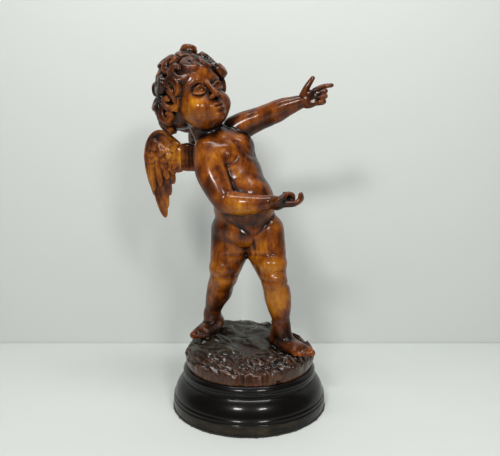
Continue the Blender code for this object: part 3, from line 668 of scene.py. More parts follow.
LEFT_THUMB = ((2, 9, 3), (10, 17, 5), (18, 23, 6), (25, 28, 6))
FINGER_RADII = (5.0, 4.4, 3.9, 3.3)
THUMB_RADII = (6.6, 5.4, 4.5, 3.7)


def hand(field, frame, wrist, thumb_side, fingers, thumb):
    fold_round(field, wrist, (0, 0, 0), -180, 180, 2.6, 1.6, 2.0, 0.0, 24)
    eggs(field, frame, ((11, 0, -1), (17, 13.0, 7), 5), ((8, thumb_side * 8, 2), (12, 6.5, 7), 3),
         ((9, thumb_side * -9, 1), (12, 5.5, 6), 3))
    digits = [(finger, FINGER_RADII, 1.3) for finger in fingers] + [(thumb, THUMB_RADII, 1.6)]
    for joints, radii, blend in digits:
        line = [(x, thumb_side * y, z, size) for (x, y, z), size in zip(joints, radii)]
        field.join(Limb(frame, line, 3), blend)


def right_arm(field):
    limbs(field, GRID, (((-66, -16, 358, 24), (-61, -32, 326, 25), (-46, -46, 294, 21.5),
                         (-37, -51, 279, 18.5)), 6),
          (((-37, -51, 279, 18.5), (-23, -58, 277, 18.5), (-5, -64, 276, 17), (14, -67, 277, 14),
            (33, -69, 279, 10.5)), 3),
          (((33, -69, 280, 11), (42, -70, 278, 11)), 1.5))
    hand(field, RIGHT_HAND, RIGHT_WRIST, -1, RIGHT_FINGERS, RIGHT_THUMB)


def left_arm(field):
    limbs(field, GRID, (((-22, 34, 396, 25), (-6, 31, 405, 22.5), (12, 26, 412, 20), (28, 22, 418, 18.5)), 6),
          (((28, 22, 418, 18), (44, 14, 424, 18.5), (58, 8, 430, 16.5), (74, 1, 435, 13),
            (89, -5, 440, 10.2)), 3))
    hand(field, LEFT_HAND, LEFT_WRIST, 1, LEFT_FINGERS, LEFT_THUMB)


# The bare skull: centre, radii and fillet
SKULL = (((0, 4, 8), (46, 50, 48), 2), ((0, -12, -24), (40, 36, 40), 8))


def head(field):
    # neck, skull, brow, chin and throat
    limbs(field, GRID, (((-56, 14, 372, 30), (-70, 13, 396, 26), (-84, 10, 425, 26)), 9))
    eggs(field, HEAD, *SKULL, ((0, -20, 18), (37, 31, 30), 10), ((0, -22, -50), (27, 23, 14), 7),
         ((0, -41, -40), (15, 11, 13), 8), ((0, -39, -54), (11, 10, 8), 6))
    # cheeks, eye sockets and brows
    for side in (-1, 1):
        eggs(field, HEAD, ((side * 20, -29, -33), (18, 18, 18), 8))
        field.carve(Egg(HEAD, (side * 17, -56, -8), (12.5, 11, 8.5), (0, 0, side * -8)), 7)
        brow = ((side * 8, -46, 4.5, 2.2), (side * 17, -46.5, 7.5, 2.6), (side * 28, -39.5, 4, 2.2))
        limbs(field, HEAD, (brow, 7))
    # nose
    limbs(field, HEAD, (((0, -47, 0, 4.0), (0, -50.5, -9, 4.2), (0, -54, -17, 4.6), (0, -57, -23, 5.0)), 3))
    eggs(field, HEAD, ((0, -58, -24.5), (6.0, 5.4, 5.0), 2.5))
    # nostrils, eyes, lids and pupils
    for side in (-1, 1):
        eggs(field, HEAD, ((side * 6.2, -53.5, -26), (4.0, 4.8, 3.6), 2))
        field.carve(Egg(HEAD, (side * 3.3, -57, -30), (1.9, 3.0, 1.8)), 1.0)
        eggs(field, HEAD, ((side * 16.5, -39.5, -9), (9.2, 9.2, 8.6), 1.0))
        upper = ((7, -45.5, -10.5, 1.4), (11, -48.3, -6.2, 1.9), (17, -49.4, -4.0, 2.1),
                 (23, -47.2, -5.5, 1.9), (28, -42, -10, 1.4))
        lower = ((7.5, -45.5, -11.5, 1.2), (12, -47.8, -14.6, 1.5), (17, -48.3, -15.6, 1.6),
                 (23, -46, -14.2, 1.5), (27.5, -42, -11, 1.2))
        for lid in (upper, lower):
            limbs(field, HEAD, ([(side * x, y, z, size) for x, y, z, size in lid], 1.2))
        field.carve(Egg(HEAD, (side * 17, -50.2, -9.6), (2.5, 3.0, 2.7)), 0.8)
    # lips, the line between them, and the dimples above and below
    upper = ((-10.5, -48, -40.5, 1.5), (-5, -52, -38.2, 2.4), (0, -52.8, -39.2, 2.2), (5, -52, -38.2, 2.4),
             (10.5, -48, -40.5, 1.5))
    lower = ((-8.5, -48.5, -43.2, 1.7), (0, -51.8, -45, 3.1), (8.5, -48.5, -43.2, 1.7))
    limbs(field, HEAD, (upper, 1.6), (lower, 1.6))
    stroke(field, HEAD, [(-12, -40.6), (-6, -41.0), (0, -41.8), (6, -41.0), (12, -40.6)], 1.3, 1.3, 0.8)
    stroke(field, HEAD, [(0, -31.5), (0, -34), (0, -36.5)], 2.0, 1.0, 1.2)
    stroke(field, HEAD, [(-7, -49.5), (0, -50.5), (7, -49.5)], 2.4, 0.8, 2.0)
    # folds above the eyes
    for side in (-1, 1):
        stroke(field, HEAD, [(side * 10, -3.5), (side * 17, 0.0), (side * 26, -3)], 1.3, 0.8, 1.2)


# The masses under the locks, first the crown's: centre, radii and fillet
HAIR_MASSES = (((1, 8, 13), (46, 48, 50), 5.0), ((-10, 25, -11), (43, 40, 34), 5.0),
               ((-22, 20, -18), (28, 30, 23), 5.0))
WAVED_LOCKS = 25


def on_head(field, around, up):
    """Point on the head and its outward normal, seen from the crown's centre: around from the face
    to the putto's left, and up, in degrees."""
    around, up = math.radians(around), math.radians(up)
    way = Vector((math.sin(around) * math.cos(up), -math.cos(around) * math.cos(up), math.sin(up)))
    point = field.way_out(HEAD @ Vector(HAIR_MASSES[0][0]), HEAD.to_3x3() @ way, 105.0)
    return point, field.normal(point[None])[0]


def hair_end(around):
    """How low the hair reaches on each side."""
    away = abs((around + 180.0) % 360.0 - 180.0)
    return numpy.interp(away, (0, 35, 60, 80, 100, 130, 180), (24, 20, 4, -16, -32, -42, -44))


def waved_lock(field, base, around, turn):
    """A lock that runs down the head in waves."""
    low = hair_end(around)
    steps = max(5, int((80 - low) / 9))
    stations = []
    for step in range(steps + 1):
        share = step / steps
        up = 80 - (80 - low) * share
        sway = 8.0 * math.sin(2.6 * math.pi * share + turn) * min(1.0, 2.2 * share)
        sway /= max(0.4, math.cos(math.radians(up)))
        point, normal = on_head(base, around + 16 * share + sway, up)
        size = 4.6 + 2.6 * math.sin(math.pi * (0.10 + 0.80 * share))
        size = (size + 0.9 * math.sin(5 * math.pi * share + turn)) * min(1.0, 0.45 + 3.0 * share)
        rise = 0.5 + 1.5 * math.sin(4.3 * math.pi * share + 2.0 * turn) - 2.0 * max(0.0, 1.0 - 6.0 * share)
        stations.append((*(point + normal * rise), size))
    facing = on_head(base, around + 8, (80 + low) / 2)[1]
    field.join(Limb(GRID, stations, 3, 3.0, (7, 0.45, facing)), 0.8)


# Curls: direction round and up, size, thickness, start angle, turns (their sign is the way it winds), lift
CURLS = (
    (-12, 20, 14, 6.4, 200, 1.25, 5), (14, 24, 13, 6.0, 20, -1.2, 5), (38, 34, 15, 6.8, 250, 1.2, 8),
    (-38, 20, 14, 6.2, 120, -1.2, 5), (40, 60, 13, 7.6, 0, 1.3, 12), (44, 8, 12, 7.4, 90, 1.2, 12),
    (56, -14, 12, 6.2, 300, -1.1, 5), (-60, 4, 13, 6.2, 60, 1.2, 5), (-78, -16, 13, 6.0, 150, -1.2, 5),
    (78, -12, 13, 6.2, 10, 1.2, 5), (-94, -30, 13, 6.2, 250, 1.2, 5), (98, -28, 13, 6.2, 40, -1.2, 5),
    (-10, 50, 14, 6.2, 310, 1.2, 5), (-46, 44, 14, 6.4, 30, -1.25, 6), (-84, 22, 14, 6.2, 210, 1.2, 6),
    (76, 26, 14, 6.2, 130, -1.2, 6), (-120, -38, 13, 6.0, 20, 1.1, 5), (-146, -42, 13, 6.0, 190, -1.1, 4),
    (176, -42, 13, 6.0, 80, 1.1, 4), (150, -40, 13, 6.0, 270, -1.1, 4), (124, -36, 13, 6.0, 160, 1.1, 5),
    (-112, -8, 14, 6.2, 100, 1.2, 6), (-142, -14, 14, 6.2, 340, -1.2, 6), (164, -16, 14, 6.2, 0, 1.2, 5),
    (112, -2, 14, 6.2, 60, 1.2, 5), (-136, 20, 14, 6.4, 260, -1.2, 6), (150, 12, 14, 6.2, 30, -1.2, 5),
    (-150, 52, 15, 6.2, 0, 1.2, 5), (98, 52, 15, 6.4, 200, -1.2, 5), (-80, 62, 15, 6.4, 80, 1.2, 5),
    (14, 76, 8, 5.0, 140, -1.2, 4),
)


def curl(field, around, up, size, thickness, start, turns, lift, steps=12):
    """A curl that winds in towards its middle and rises there."""
    centre, normal = on_head(field, around, up)
    out = Vector(normal)
    across = out.orthogonal().normalized()
    along = out.cross(across)
    stations = []
    for step in range(steps + 1):
        share = step / steps
        angle = math.radians(start) + share * 0.66 * turns * math.tau
        reach = size * (1.22 - 1.0 * share)
        point = Vector(centre) + out * (lift - 3.5 + size * 0.34 * share - 0.010 * reach * reach)
        point += (across * math.cos(angle) + along * math.sin(angle)) * reach
        stations.append((*point, thickness * (0.35 + 0.95 * math.sin(math.pi * (0.08 + 0.84 * share)))))
    return Limb(GRID, stations, 2, 3.0, (5, 0.45, numpy.array(out)))


def hair(field):
    eggs(field, HEAD, *HAIR_MASSES)
    middle = numpy.array(HEAD @ Vector(HAIR_MASSES[0][0]))
    base = Field(middle - 112.0, middle + 112.0, 2.0)
    eggs(base, HEAD, *SKULL, *HAIR_MASSES)
    for index in range(WAVED_LOCKS):
        waved_lock(field, base, 360 * index / WAVED_LOCKS, 1.7 * index)
    for lock in CURLS:
        field.join(curl(base, *lock), 0.8)


# The joints of the wings, and where their stubs grow out of the shoulder blades
RIGHT_WING = own_axes((-115, 34, 350), (-1.0, 0.22, 0.0), (0.0, -0.10, 1.0))
LEFT_WING = own_axes((-60, 74, 372), (-0.74, 0.67, 0.0), (-0.05, -0.28, 0.95))
RIGHT_BLADE = (-80, 24, 347)
LEFT_BLADE = (-46, 44, 362)


def stubs(field):
    for frame, blade in ((RIGHT_WING, RIGHT_BLADE), (LEFT_WING, LEFT_BLADE)):
        for height in (-17, -8.5, 0, 8.5, 17):
            field.join(Limb(frame, [(8, 0, height, 6), (-12, 0, height, 6.5)], 1), 2)
            start = frame @ Vector((-10, 0, height))
            field.join(Limb(GRID, [(*start, 6.5), (blade[0], blade[1], blade[2] + 0.8 * height, 9)], 1), 3)
        # upright gouge marks
        for across in (-3, -8, -14):
            for side in (-1, 1):
                line = [(across, side * 8.4, 24, 2.4), (across - 1, side * 8.4, -24, 2.4)]
                field.carve(Limb(frame, line, 1), 0.8)


# Wings: overlapping carved feathers on a flat lobe

class Feather:
    """A carved feather, thickest along its quill, with slanting barbs on both sides."""

    def __init__(self, root, tip, width, thickness, barbs=2.6):
        root, tip = Vector(root), Vector(tip)
        along = (tip - root).normalized()
        face = (Vector((0, 1, 0)) - along * along.y).normalized()
        self.axes = numpy.array((face.cross(along), face, along), numpy.float32)
        self.root = numpy.array(root, numpy.float32)
        self.length = (tip - root).length
        self.width, self.thickness, self.barbs = width, thickness, barbs
        reach = Vector((width, thickness, width)) * 0.75
        self.low = numpy.minimum(root, tip) - numpy.array(reach)
        self.high = numpy.maximum(root, tip) + numpy.array(reach)

    def distance(self, x, y, z):
        x, y, z = x - self.root[0], y - self.root[1], z - self.root[2]
        across, face, along = (x * axis[0] + y * axis[1] + z * axis[2] for axis in self.axes)
        share = along / self.length
        leaf = numpy.sqrt(numpy.clip(1.0 - numpy.abs(2.0 * share - 1.0) ** 2.6, 0.003, 1.0))
        half = 0.5 * self.width * leaf
        thick = 0.5 * self.thickness * leaf ** 0.7
        slant = numpy.cos(math.tau * (along + 1.6 * numpy.abs(across)) / self.barbs)
        quill = numpy.exp(-(across / 1.0) ** 2) * (share < 0.9)
        thick = thick * (1.0 + 0.035 * slant + 0.15 * quill)
        gap = (numpy.sqrt((across / half) ** 2 + (face / thick) ** 2) - 1.0) * thick
        return numpy.maximum(gap, numpy.maximum(-along, along - self.length) * 0.7)


# Half of the gap at a wing's joint
HALF_GAP = 0.15

# Long feathers: place of root and tip across, height of the tip, and width; then the shorter ones on them
PRIMARIES = ((57, 37, -105, 21), (46, 33, -88, 18), (38, 27, -66, 17), (30, 19, -46, 16))
SECONDARIES = ((56, 52, -58), (45, 40, -50), (34, 27, -38), (24, 15, -30))

# Number of scallops in a row, height of their roots, and where the outermost and innermost sit
COVERT_ROWS = ((3, 5, 54, 17), (4, 15, 57, 18), (3, 25, 52, 25), (2, 35, 47, 35))

# The wing's leading edge
LEADING_EDGE = (
    (6, 0, 22, 4.6), (16, 0, 31, 4.0), (30, 0, 41, 3.6), (44, 0, 41, 3.4), (56, 0, 31, 3.2),
    (63.5, 0, 12, 3.0), (64.5, 0, -14, 2.8), (60.5, -1, -40, 2.6), (54, -2, -62, 2.4),
)


def scallop(field, row, index, share, height, across, side):
    """A covert feather with a curled tip, on one face of the wing."""
    top = height - 4 * share - 4 * (2 * share - 1) ** 2 + 1.5 * math.cos(4.0 * index + 2.0 * row)
    lift = 2.4 + 0.7 * row
    turn = 3.5 * math.sin(2.3 * index + 1.9 * row)
    root = (across + turn, side * (lift - 1.5), top)
    tip = (across - 1.5 - turn, side * (lift + 1.0), top - 23)
    field.join(Feather(root, tip, 19, 8.5, 3.2), 0.6)
    eggs(field, GRID, ((across - 1.0 - turn, side * (lift + 2.4), top - 16), (6.5, 2.6, 4.6), 1.2))


def carve_wing():
    """A wing in its own axes, as a field."""
    field = Field((-3, -20, -114), (76, 22, 52), WING_STEP)
    eggs(field, GRID, ((38, -1, 8), (27, 5.5, 33), 1), ((8, 0, -3), (20, 7, 23), 5))
    for across, tip_across, tip, width in PRIMARIES:
        field.join(Feather((across, 0, 6), (tip_across, -5, tip), width, 7.5, 4.0), 0.7)
    for across, tip_across, tip in SECONDARIES:
        field.join(Feather((across, 1.5, 6), (tip_across, 1.0, tip), 15, 11, 3.5), 0.7)
    # rows of coverts on both faces, the lowest row first
    for row, (count, height, outer, inner) in enumerate(COVERT_ROWS):
        for side in (1, -1):
            for index in range(count):
                share = index / (count - 1)
                across = outer + (inner - outer) * share + 1.6 * math.sin(5.0 * index + 3.0 * row)
                scallop(field, row, index, share, height, across, side)
    # the rounded feathers beside the joint
    for height in (16, 2, -12):
        for side in (1, -1):
            field.join(Feather((9, side * 3.0, height + 12), (14, side * 6.0, height - 8), 12, 6, 2.0), 0.6)
    field.join(Limb(GRID, LEADING_EDGE, 4, 5.0), 2.0)
    field.trim((-4, -30, -120), (10, 30, 60), (HALF_GAP, 0, 0), (-1, 0, 0))
    return field


# From fields to pieces

def soften(values, reach):
    """Box blur, twice over, along each axis."""
    for axis in range(3):
        for _ in range(2):
            total = numpy.cumsum(values, axis=axis, dtype=numpy.float32)
            places = numpy.arange(total.shape[axis])
            lead = numpy.take(total, numpy.clip(places + reach, 0, total.shape[axis] - 1), axis)
            lag = numpy.take(total, numpy.clip(places - reach - 1, 0, None), axis)
            values = (lead - lag) / (2 * reach + 1)
    return values


def hollows(field, reach):
    """A field of how far each place lies in hollows: 0.5 on the flat, more in hollows, less on ridges."""
    coarse = max(1, round(0.4 * reach / field.step))
    inside = (field.values[::coarse, ::coarse, ::coarse] < 0.0).astype(numpy.float32)
    soft = soften(inside, max(1, round(reach / (field.step * coarse))))
    return field_of(soft, field.low, field.step * coarse)


def placed(name, data):
    """A new object in the scene."""
    item = bpy.data.objects.new(name, data)
    bpy.context.scene.collection.objects.link(item)
    return item


def mesh_from(name, work):
    """A mesh from a bmesh, which is freed."""
    mesh = bpy.data.meshes.new(name)
    work.to_mesh(mesh)
    work.free()
    return mesh


def make_plain(item):
    """Keep what an object's modifiers make as its plain mesh."""
    graph = bpy.context.evaluated_depsgraph_get()
    before = item.data
    item.data = bpy.data.meshes.new_from_object(item.evaluated_get(graph), depsgraph=graph)
    item.modifiers.clear()
    bpy.data.meshes.remove(before)
    item.data.name = item.name
    return item


def piece_of(name, field, place, size, triangles):
    """A closed skin over a field, thinned and put in its place in metres; and its points in the grid."""
    points, faces = quads_of(field)
    item = placed(name, mesh_of(name, points, faces))
    thin = item.modifiers.new("Thin", "DECIMATE")
    thin.ratio = min(1.0, triangles / (2.0 * len(faces)))
    thin.use_collapse_triangulate = True
    make_plain(item)
    keep_largest(item.data)
    spots = spots_of(item.data)
    item.data.transform(place @ Matrix.Scale(size, 4))
    item.data.polygons.foreach_set("use_smooth", numpy.ones(len(item.data.polygons), bool))
    return item, spots


def keep_largest(mesh):
    """Take away loose crumbs of a carved mesh."""
    work = bmesh.new()
    work.from_mesh(mesh)
    seen, shells = set(), []
    for start in work.verts:
        if start in seen:
            continue
        seen.add(start)
        shell, ahead = [start], [start]
        while ahead:
            vert = ahead.pop()
            for link in vert.link_edges:
                other = link.other_vert(vert)
                if other not in seen:
                    seen.add(other)
                    shell.append(other)
                    ahead.append(other)
        shells.append(shell)
    shells.sort(key=len)
    for shell in shells[:-1]:
        bmesh.ops.delete(work, geom=shell, context="VERTS")
    work.to_mesh(mesh)
    work.free()


def spots_of(mesh):
    spots = numpy.empty(len(mesh.vertices) * 3, numpy.float32)
    mesh.vertices.foreach_get("co", spots)
    return spots.reshape(-1, 3).astype(float)


def mark(mesh, name, values):
    """Store a number on each point of a mesh, for its material."""
    layer = mesh.attributes.new(name, "FLOAT", "POINT")
    layer.data.foreach_set("value", numpy.clip(values, 0.0, 1.0).astype(numpy.float32))


def ramp(values, low, high):
    share = numpy.clip((values - low) / (high - low), 0.0, 1.0)
    return share * share * (3.0 - 2.0 * share)


# Patches where the wood is paler and more golden, or darker: partly the wood's own colour (golden face and
# thighs, red-brown hands and feet), partly painted shade between the legs, under the forearm, behind the
# calf and on the far sides of the chest, hips, neck and upper arm; centre, size and strength
TONES_AND_PAINTED_LIGHT = (
    ((34, -32, 176), 26, 0.9), ((50, -40, 110), 22, 0.8), ((-14, -40, 300), 22, 0.2),
    ((-10, -72, 272), 20, 0.4), ((-79, -46, 451), 8, -0.6), ((-50, -33, 452), 8, -0.4),
    ((-96, -46, 430), 24, 0.9), ((-80, -44, 416), 16, 0.5), ((-30, -40, 345), 22, 0.35),
    ((-45, -24, 200), 16, 0.5), ((-60, -30, 352), 18, 0.5), ((-48, -20, 150), 14, 0.5),
    ((70, 0, 432), 18, 0.3), ((-72, 6, 110), 12, 0.3), ((20, 24, 414), 22, -0.7),
    ((55, -30, 60), 22, -0.6), ((-70, 0, 60), 18, -0.6), ((60, -70, 278), 20, -0.8),
    ((105, -10, 446), 20, -0.5), ((-78, 14, 400), 24, -0.7), ((4, 0, 206), 12, -0.8),
    ((-44, 10, 118), 14, -0.6), ((28, -8, 216), 14, -0.4), ((-4, -30, 256), 20, -0.5),
    ((-66, -40, 340), 12, 0.2), ((-80, -6, 300), 22, -0.5), ((-62, 0, 230), 18, -0.4),
    ((-52, -30, 310), 16, -0.3), ((-58, -30, 306), 16, -0.4), ((0, 30, 340), 30, -0.4),
)


# Patches of painted light and painted shade, with the wood's own paler and darker places, summed at each point
def tones_and_painted_light(spots):
    total = numpy.zeros(len(spots))
    for centre, size, strength in TONES_AND_PAINTED_LIGHT:
        gap = ((spots - numpy.array(centre)) ** 2).sum(axis=1)
        total += strength * numpy.exp(-gap / (2.0 * size * size))
    return 0.5 + 0.5 * total


# The block that the cherub and its rock are carved from, and the reach of rock and head in it
BLOCK_LOW, BLOCK_HIGH = (-164, -118, -3), (142, 118, 534)
ROCK_REACH = 74
HEAD_FROM, HEAD_SIDE = 384, -4


def carve_cherub():
    """The cherub and its rock in one field, with the bare head and the bare rock kept for their finish."""
    field = Field(BLOCK_LOW, BLOCK_HIGH, CARVING_STEP)
    rock(field)
    bare_rock = field.block(BLOCK_LOW, (*BLOCK_HIGH[:2], ROCK_REACH + 6))
    for shape in (torso, stubs, legs, head, creases, body_folds, feet, left_arm, right_arm):
        shape(field)
    bare_head = field.block((*BLOCK_LOW[:2], HEAD_FROM - 4), (HEAD_SIDE + 4, *BLOCK_HIGH[1:]))
    hair(field)
    # the flat underside, and the flat joints of the wings
    field.trim((-170, -120, -10), (150, 120, 6), (0, 0, 0), (0, 0, -1))
    for joint in (RIGHT_WING, LEFT_WING):
        middle = numpy.array(joint.translation)
        outward = numpy.array(joint.to_3x3() @ Vector((1, 0, 0)))
        low, high = middle - 34 + outward * 18, middle + 34 + outward * 18
        field.trim(low, high, middle - outward * HALF_GAP, outward)
    return field, bare_rock, bare_head


def cherub_piece():
    field, bare_rock, bare_head = carve_cherub()
    near, wide = hollows(field, 3.0), hollows(field, 11.0)
    place = Matrix.Translation((0, 0, ROCK_BOTTOM))
    item, spots = piece_of("carved_cherub", field, place, UNIT, CARVING_TRIANGLES)
    stone = (spots[:, 2] < ROCK_REACH) * ramp(-bare_rock.sample(spots), -2.4, -0.6)
    by_head = (spots[:, 2] > HEAD_FROM) & (spots[:, 0] < HEAD_SIDE)
    locks = by_head * ramp(bare_head.sample(spots), 0.2, 1.8)
    near = near.sample(spots)
    # wide recesses darkened, such as under the chin: painted shade, partly varnish gathered there
    mark(item.data, "deep_shade_and_stain", ramp(wide.sample(spots), 0.48, 0.88))
    mark(item.data, "rock", stone)
    mark(item.data, "hair", locks)
    # creases darkened and ridges lightened, more on hair and rock: painted shade and painted highlights, partly
    # varnish gathered and worn
    rough_work = locks + stone > 0.5
    mark(item.data, "hollow_shade_and_stain", numpy.where(rough_work, ramp(near, 0.30, 0.76), ramp(near, 0.44, 0.76)))
    # patches of painted shade and light, among the wood's own paler and darker places
    mark(item.data, "tone_and_painted_light", tones_and_painted_light(spots))
    return item


def wing_piece(name, joint):
    field = carve_wing()
    near, wide = hollows(field, 2.0), hollows(field, 8.0)
    place = Matrix.Translation((0, 0, ROCK_BOTTOM)) @ Matrix.Scale(UNIT, 4) @ joint
    item, spots = piece_of(name, field, place, WING_UNIT / UNIT, WING_TRIANGLES)
    # the wing darker in its creases and lighter on its ridges: painted shade and painted highlights, partly varnish
    # gathered and worn
    mark(item.data, "hollow_shade_and_stain", ramp(near.sample(spots), 0.30, 0.78))
    # the wing's wide recesses darkened: painted shade, partly varnish gathered there
    mark(item.data, "deep_shade_and_stain", ramp(wide.sample(spots), 0.40, 0.82))
    mark(item.data, "rock", numpy.zeros(len(spots)))
    mark(item.data, "hair", numpy.full(len(spots), 0.1))
    mark(item.data, "tone_and_painted_light", 0.90 + 0.10 * numpy.sin(spots[:, 2] / 19.0) * numpy.sin(spots[:, 0] / 11.0))
    return item


# Node trees that make the plinth and the felt

class Tree:
    """A node tree under construction: add makes a node, and joins each given input to a value or a socket."""

    def __init__(self, nodes, links):
        self.nodes, self.links = nodes, links

    def add(self, kind, inputs=None, **settings):
        node = self.nodes.new(kind)
        for name, value in settings.items():
            setattr(node, name, value)
        for name, value in (inputs or {}).items():
            socket = node.inputs[name]
            if isinstance(value, bpy.types.NodeSocket):
                self.links.new(value, socket)
            else:
                socket.default_value = value
        return node

    def number(self, operation, *values):
        """A sum, product or other rule of numbers or sockets."""
        return self.add("ShaderNodeMath", dict(enumerate(values)), operation=operation).outputs[0]

    def parts(self, socket):
        """The x, y and z outputs of a vector."""
        return self.add("ShaderNodeSeparateXYZ", {0: socket}).outputs

    def place(self):
        """The position in a geometry tree."""
        return self.add("GeometryNodeInputPosition").outputs[0]

    def own_place(self):
        """The piece's own coordinates in a material."""
        return self.add("ShaderNodeTexCoord").outputs["Object"]


def geometry_tree(name, sizes):
    """A new geometry tree with a geometry input, named sizes and a finish, and its input and output nodes."""
    group = bpy.data.node_groups.new(name, "GeometryNodeTree")
    group.interface.new_socket("Geometry", in_out="INPUT", socket_type="NodeSocketGeometry")
    for size, kind in sizes:
        group.interface.new_socket(size, in_out="INPUT", socket_type=kind)
    group.interface.new_socket("Finish", in_out="INPUT", socket_type="NodeSocketMaterial")
    group.interface.new_socket("Geometry", in_out="OUTPUT", socket_type="NodeSocketGeometry")
    tree = Tree(group.nodes, group.links)
    return group, tree, tree.add("NodeGroupInput"), tree.add("NodeGroupOutput")


def run_tree(item, group, values):
    """Run a node tree on an object with these inputs, and keep its result as a plain mesh."""
    modifier = item.modifiers.new(group.name, "NODES")
    modifier.node_group = group
    for socket in group.interface.items_tree:
        if socket.in_out == "INPUT" and socket.name in values:
            modifier[socket.identifier] = values[socket.name]
    return make_plain(item)


def close_tree(tree, given, out, body):
    """End a geometry tree: nothing left as an instance, and the given finish on."""
    whole = tree.add("GeometryNodeRealizeInstances", {"Geometry": body})
    coated = tree.add("GeometryNodeSetMaterial", {"Geometry": whole.outputs[0],
                                                  "Material": given.outputs["Finish"]})
    tree.links.new(coated.outputs[0], out.inputs["Geometry"])


def turning_tree():
    """Turns an outline, whose points give radius and height, into a round body."""
    group, tree, given, out = geometry_tree("turn_on_lathe", (
        ("Outline points", "NodeSocketInt"), ("Sides", "NodeSocketInt"),
        ("Weld distance", "NodeSocketFloat")))
    outline, count = given.outputs["Geometry"], given.outputs["Outline points"]
    grid = tree.add("GeometryNodeMeshGrid", {"Size X": 1.0, "Size Y": 1.0, "Vertices Y": count,
                                             "Vertices X": tree.number("ADD", given.outputs["Sides"], 1.0)})
    # each column of the grid takes the outline's points, turned by the column's share of a round
    spot = tree.parts(tree.place())
    around = tree.number("MULTIPLY", spot["X"], math.tau)
    share = tree.number("ADD", spot["Y"], 0.5)
    along = tree.number("MULTIPLY", share, tree.number("SUBTRACT", count, 1.0))
    index = tree.add("FunctionNodeFloatToInt", {0: along}, rounding_mode="ROUND")
    corner = tree.add("GeometryNodeSampleIndex", {"Geometry": outline, "Index": index.outputs[0]},
                      data_type="FLOAT_VECTOR")
    tree.links.new(tree.place(), corner.inputs["Value"])
    point = tree.parts(corner.outputs[0])
    ways = [tree.number("MULTIPLY", tree.number(way, around), point["X"]) for way in ("COSINE", "SINE")]
    spot = tree.add("ShaderNodeCombineXYZ", {"X": ways[0], "Y": ways[1], "Z": point["Z"]})
    body = tree.add("GeometryNodeSetPosition", {"Geometry": grid.outputs["Mesh"],
                                                "Position": spot.outputs[0]})
    welded = tree.add("GeometryNodeMergeByDistance", {"Geometry": body.outputs[0],
                                                      "Distance": given.outputs["Weld distance"]})
    smooth = tree.add("GeometryNodeSetShadeSmooth", {"Geometry": welded.outputs[0]})
    close_tree(tree, given, out, smooth.outputs[0])
    return group


# The plinth's side from the bottom up: radius, height and how far each corner is eased
PLINTH_CORNERS = (
    (0.1275, PLINTH_BOTTOM, 0.0010), (0.1287, PLINTH_BOTTOM + 0.0012, 0.0008), (0.1289, 0.0130, 0.0),
    (0.1287, 0.0170, 0.0006), (0.1272, 0.0182, 0.0005), (0.1268, 0.0196, 0.0004),
    (0.1279, 0.0206, 0.0009), (0.1282, 0.0226, 0.0010), (0.1268, 0.0248, 0.0006),
    (0.1262, 0.0254, 0.0003), (0.1259, 0.0275, 0.0010), (0.1249, 0.0306, 0.0), (0.1237, 0.0340, 0.0),
    (0.1221, 0.0378, 0.0), (0.1199, 0.0414, 0.0), (0.1172, 0.0450, 0.0), (0.1138, 0.0484, 0.0),
    (0.1112, 0.0504, 0.0006), (0.1098, 0.0508, 0.0004), (0.1098, 0.0530, 0.0004), (0.1112, 0.0538, 0.0005),
    (0.1120, 0.0556, 0.0008), (0.1120, 0.0590, 0.0003), (0.1114, 0.0594, 0.0002), (0.1114, 0.0602, 0.0002),
    (0.1120, 0.0606, 0.0003), (0.1122, 0.0630, 0.0010), (0.1104, 0.0664, 0.0012),
    (0.1074, PLINTH_TOP, 0.0008),
)
BOTTOM_EDGE, TOP_EDGE = 0.120, 0.100
CORNER_STEPS = 4
PLINTH_SIDES = 192
WELD_DISTANCE = 0.00002


def plinth_outline():
    """Points of the plinth's side, from the middle of its foot to the middle of its top."""
    foot_edge, top_edge = Vector((BOTTOM_EDGE, PLINTH_BOTTOM)), Vector((TOP_EDGE, PLINTH_TOP))
    points = [Vector((0.0, PLINTH_BOTTOM)), foot_edge]
    spots = [foot_edge] + [Vector(corner[:2]) for corner in PLINTH_CORNERS] + [top_edge]
    for before, spot, after, (_, _, ease) in zip(spots, spots[1:], spots[2:], PLINTH_CORNERS):
        if ease == 0.0:
            points.append(spot)
            continue
        start = spot + (before - spot).normalized() * min(ease, (before - spot).length * 0.45)
        end = spot + (after - spot).normalized() * min(ease, (after - spot).length * 0.45)
        for step in range(CORNER_STEPS + 1):
            share = step / CORNER_STEPS
            points.append(start * (1 - share) ** 2 + spot * 2 * share * (1 - share) + end * share ** 2)
    return points + [top_edge, Vector((0.0, PLINTH_TOP))]


def plinth_piece(finish):
    points = plinth_outline()
    outline = bmesh.new()
    for radius, height in points:
        outline.verts.new((radius, 0.0, height))
    item = placed("turned_plinth", mesh_from("turned_plinth", outline))
    return run_tree(item, turning_tree(), {"Outline points": len(points), "Sides": PLINTH_SIDES,
                                           "Weld distance": WELD_DISTANCE, "Finish": finish})


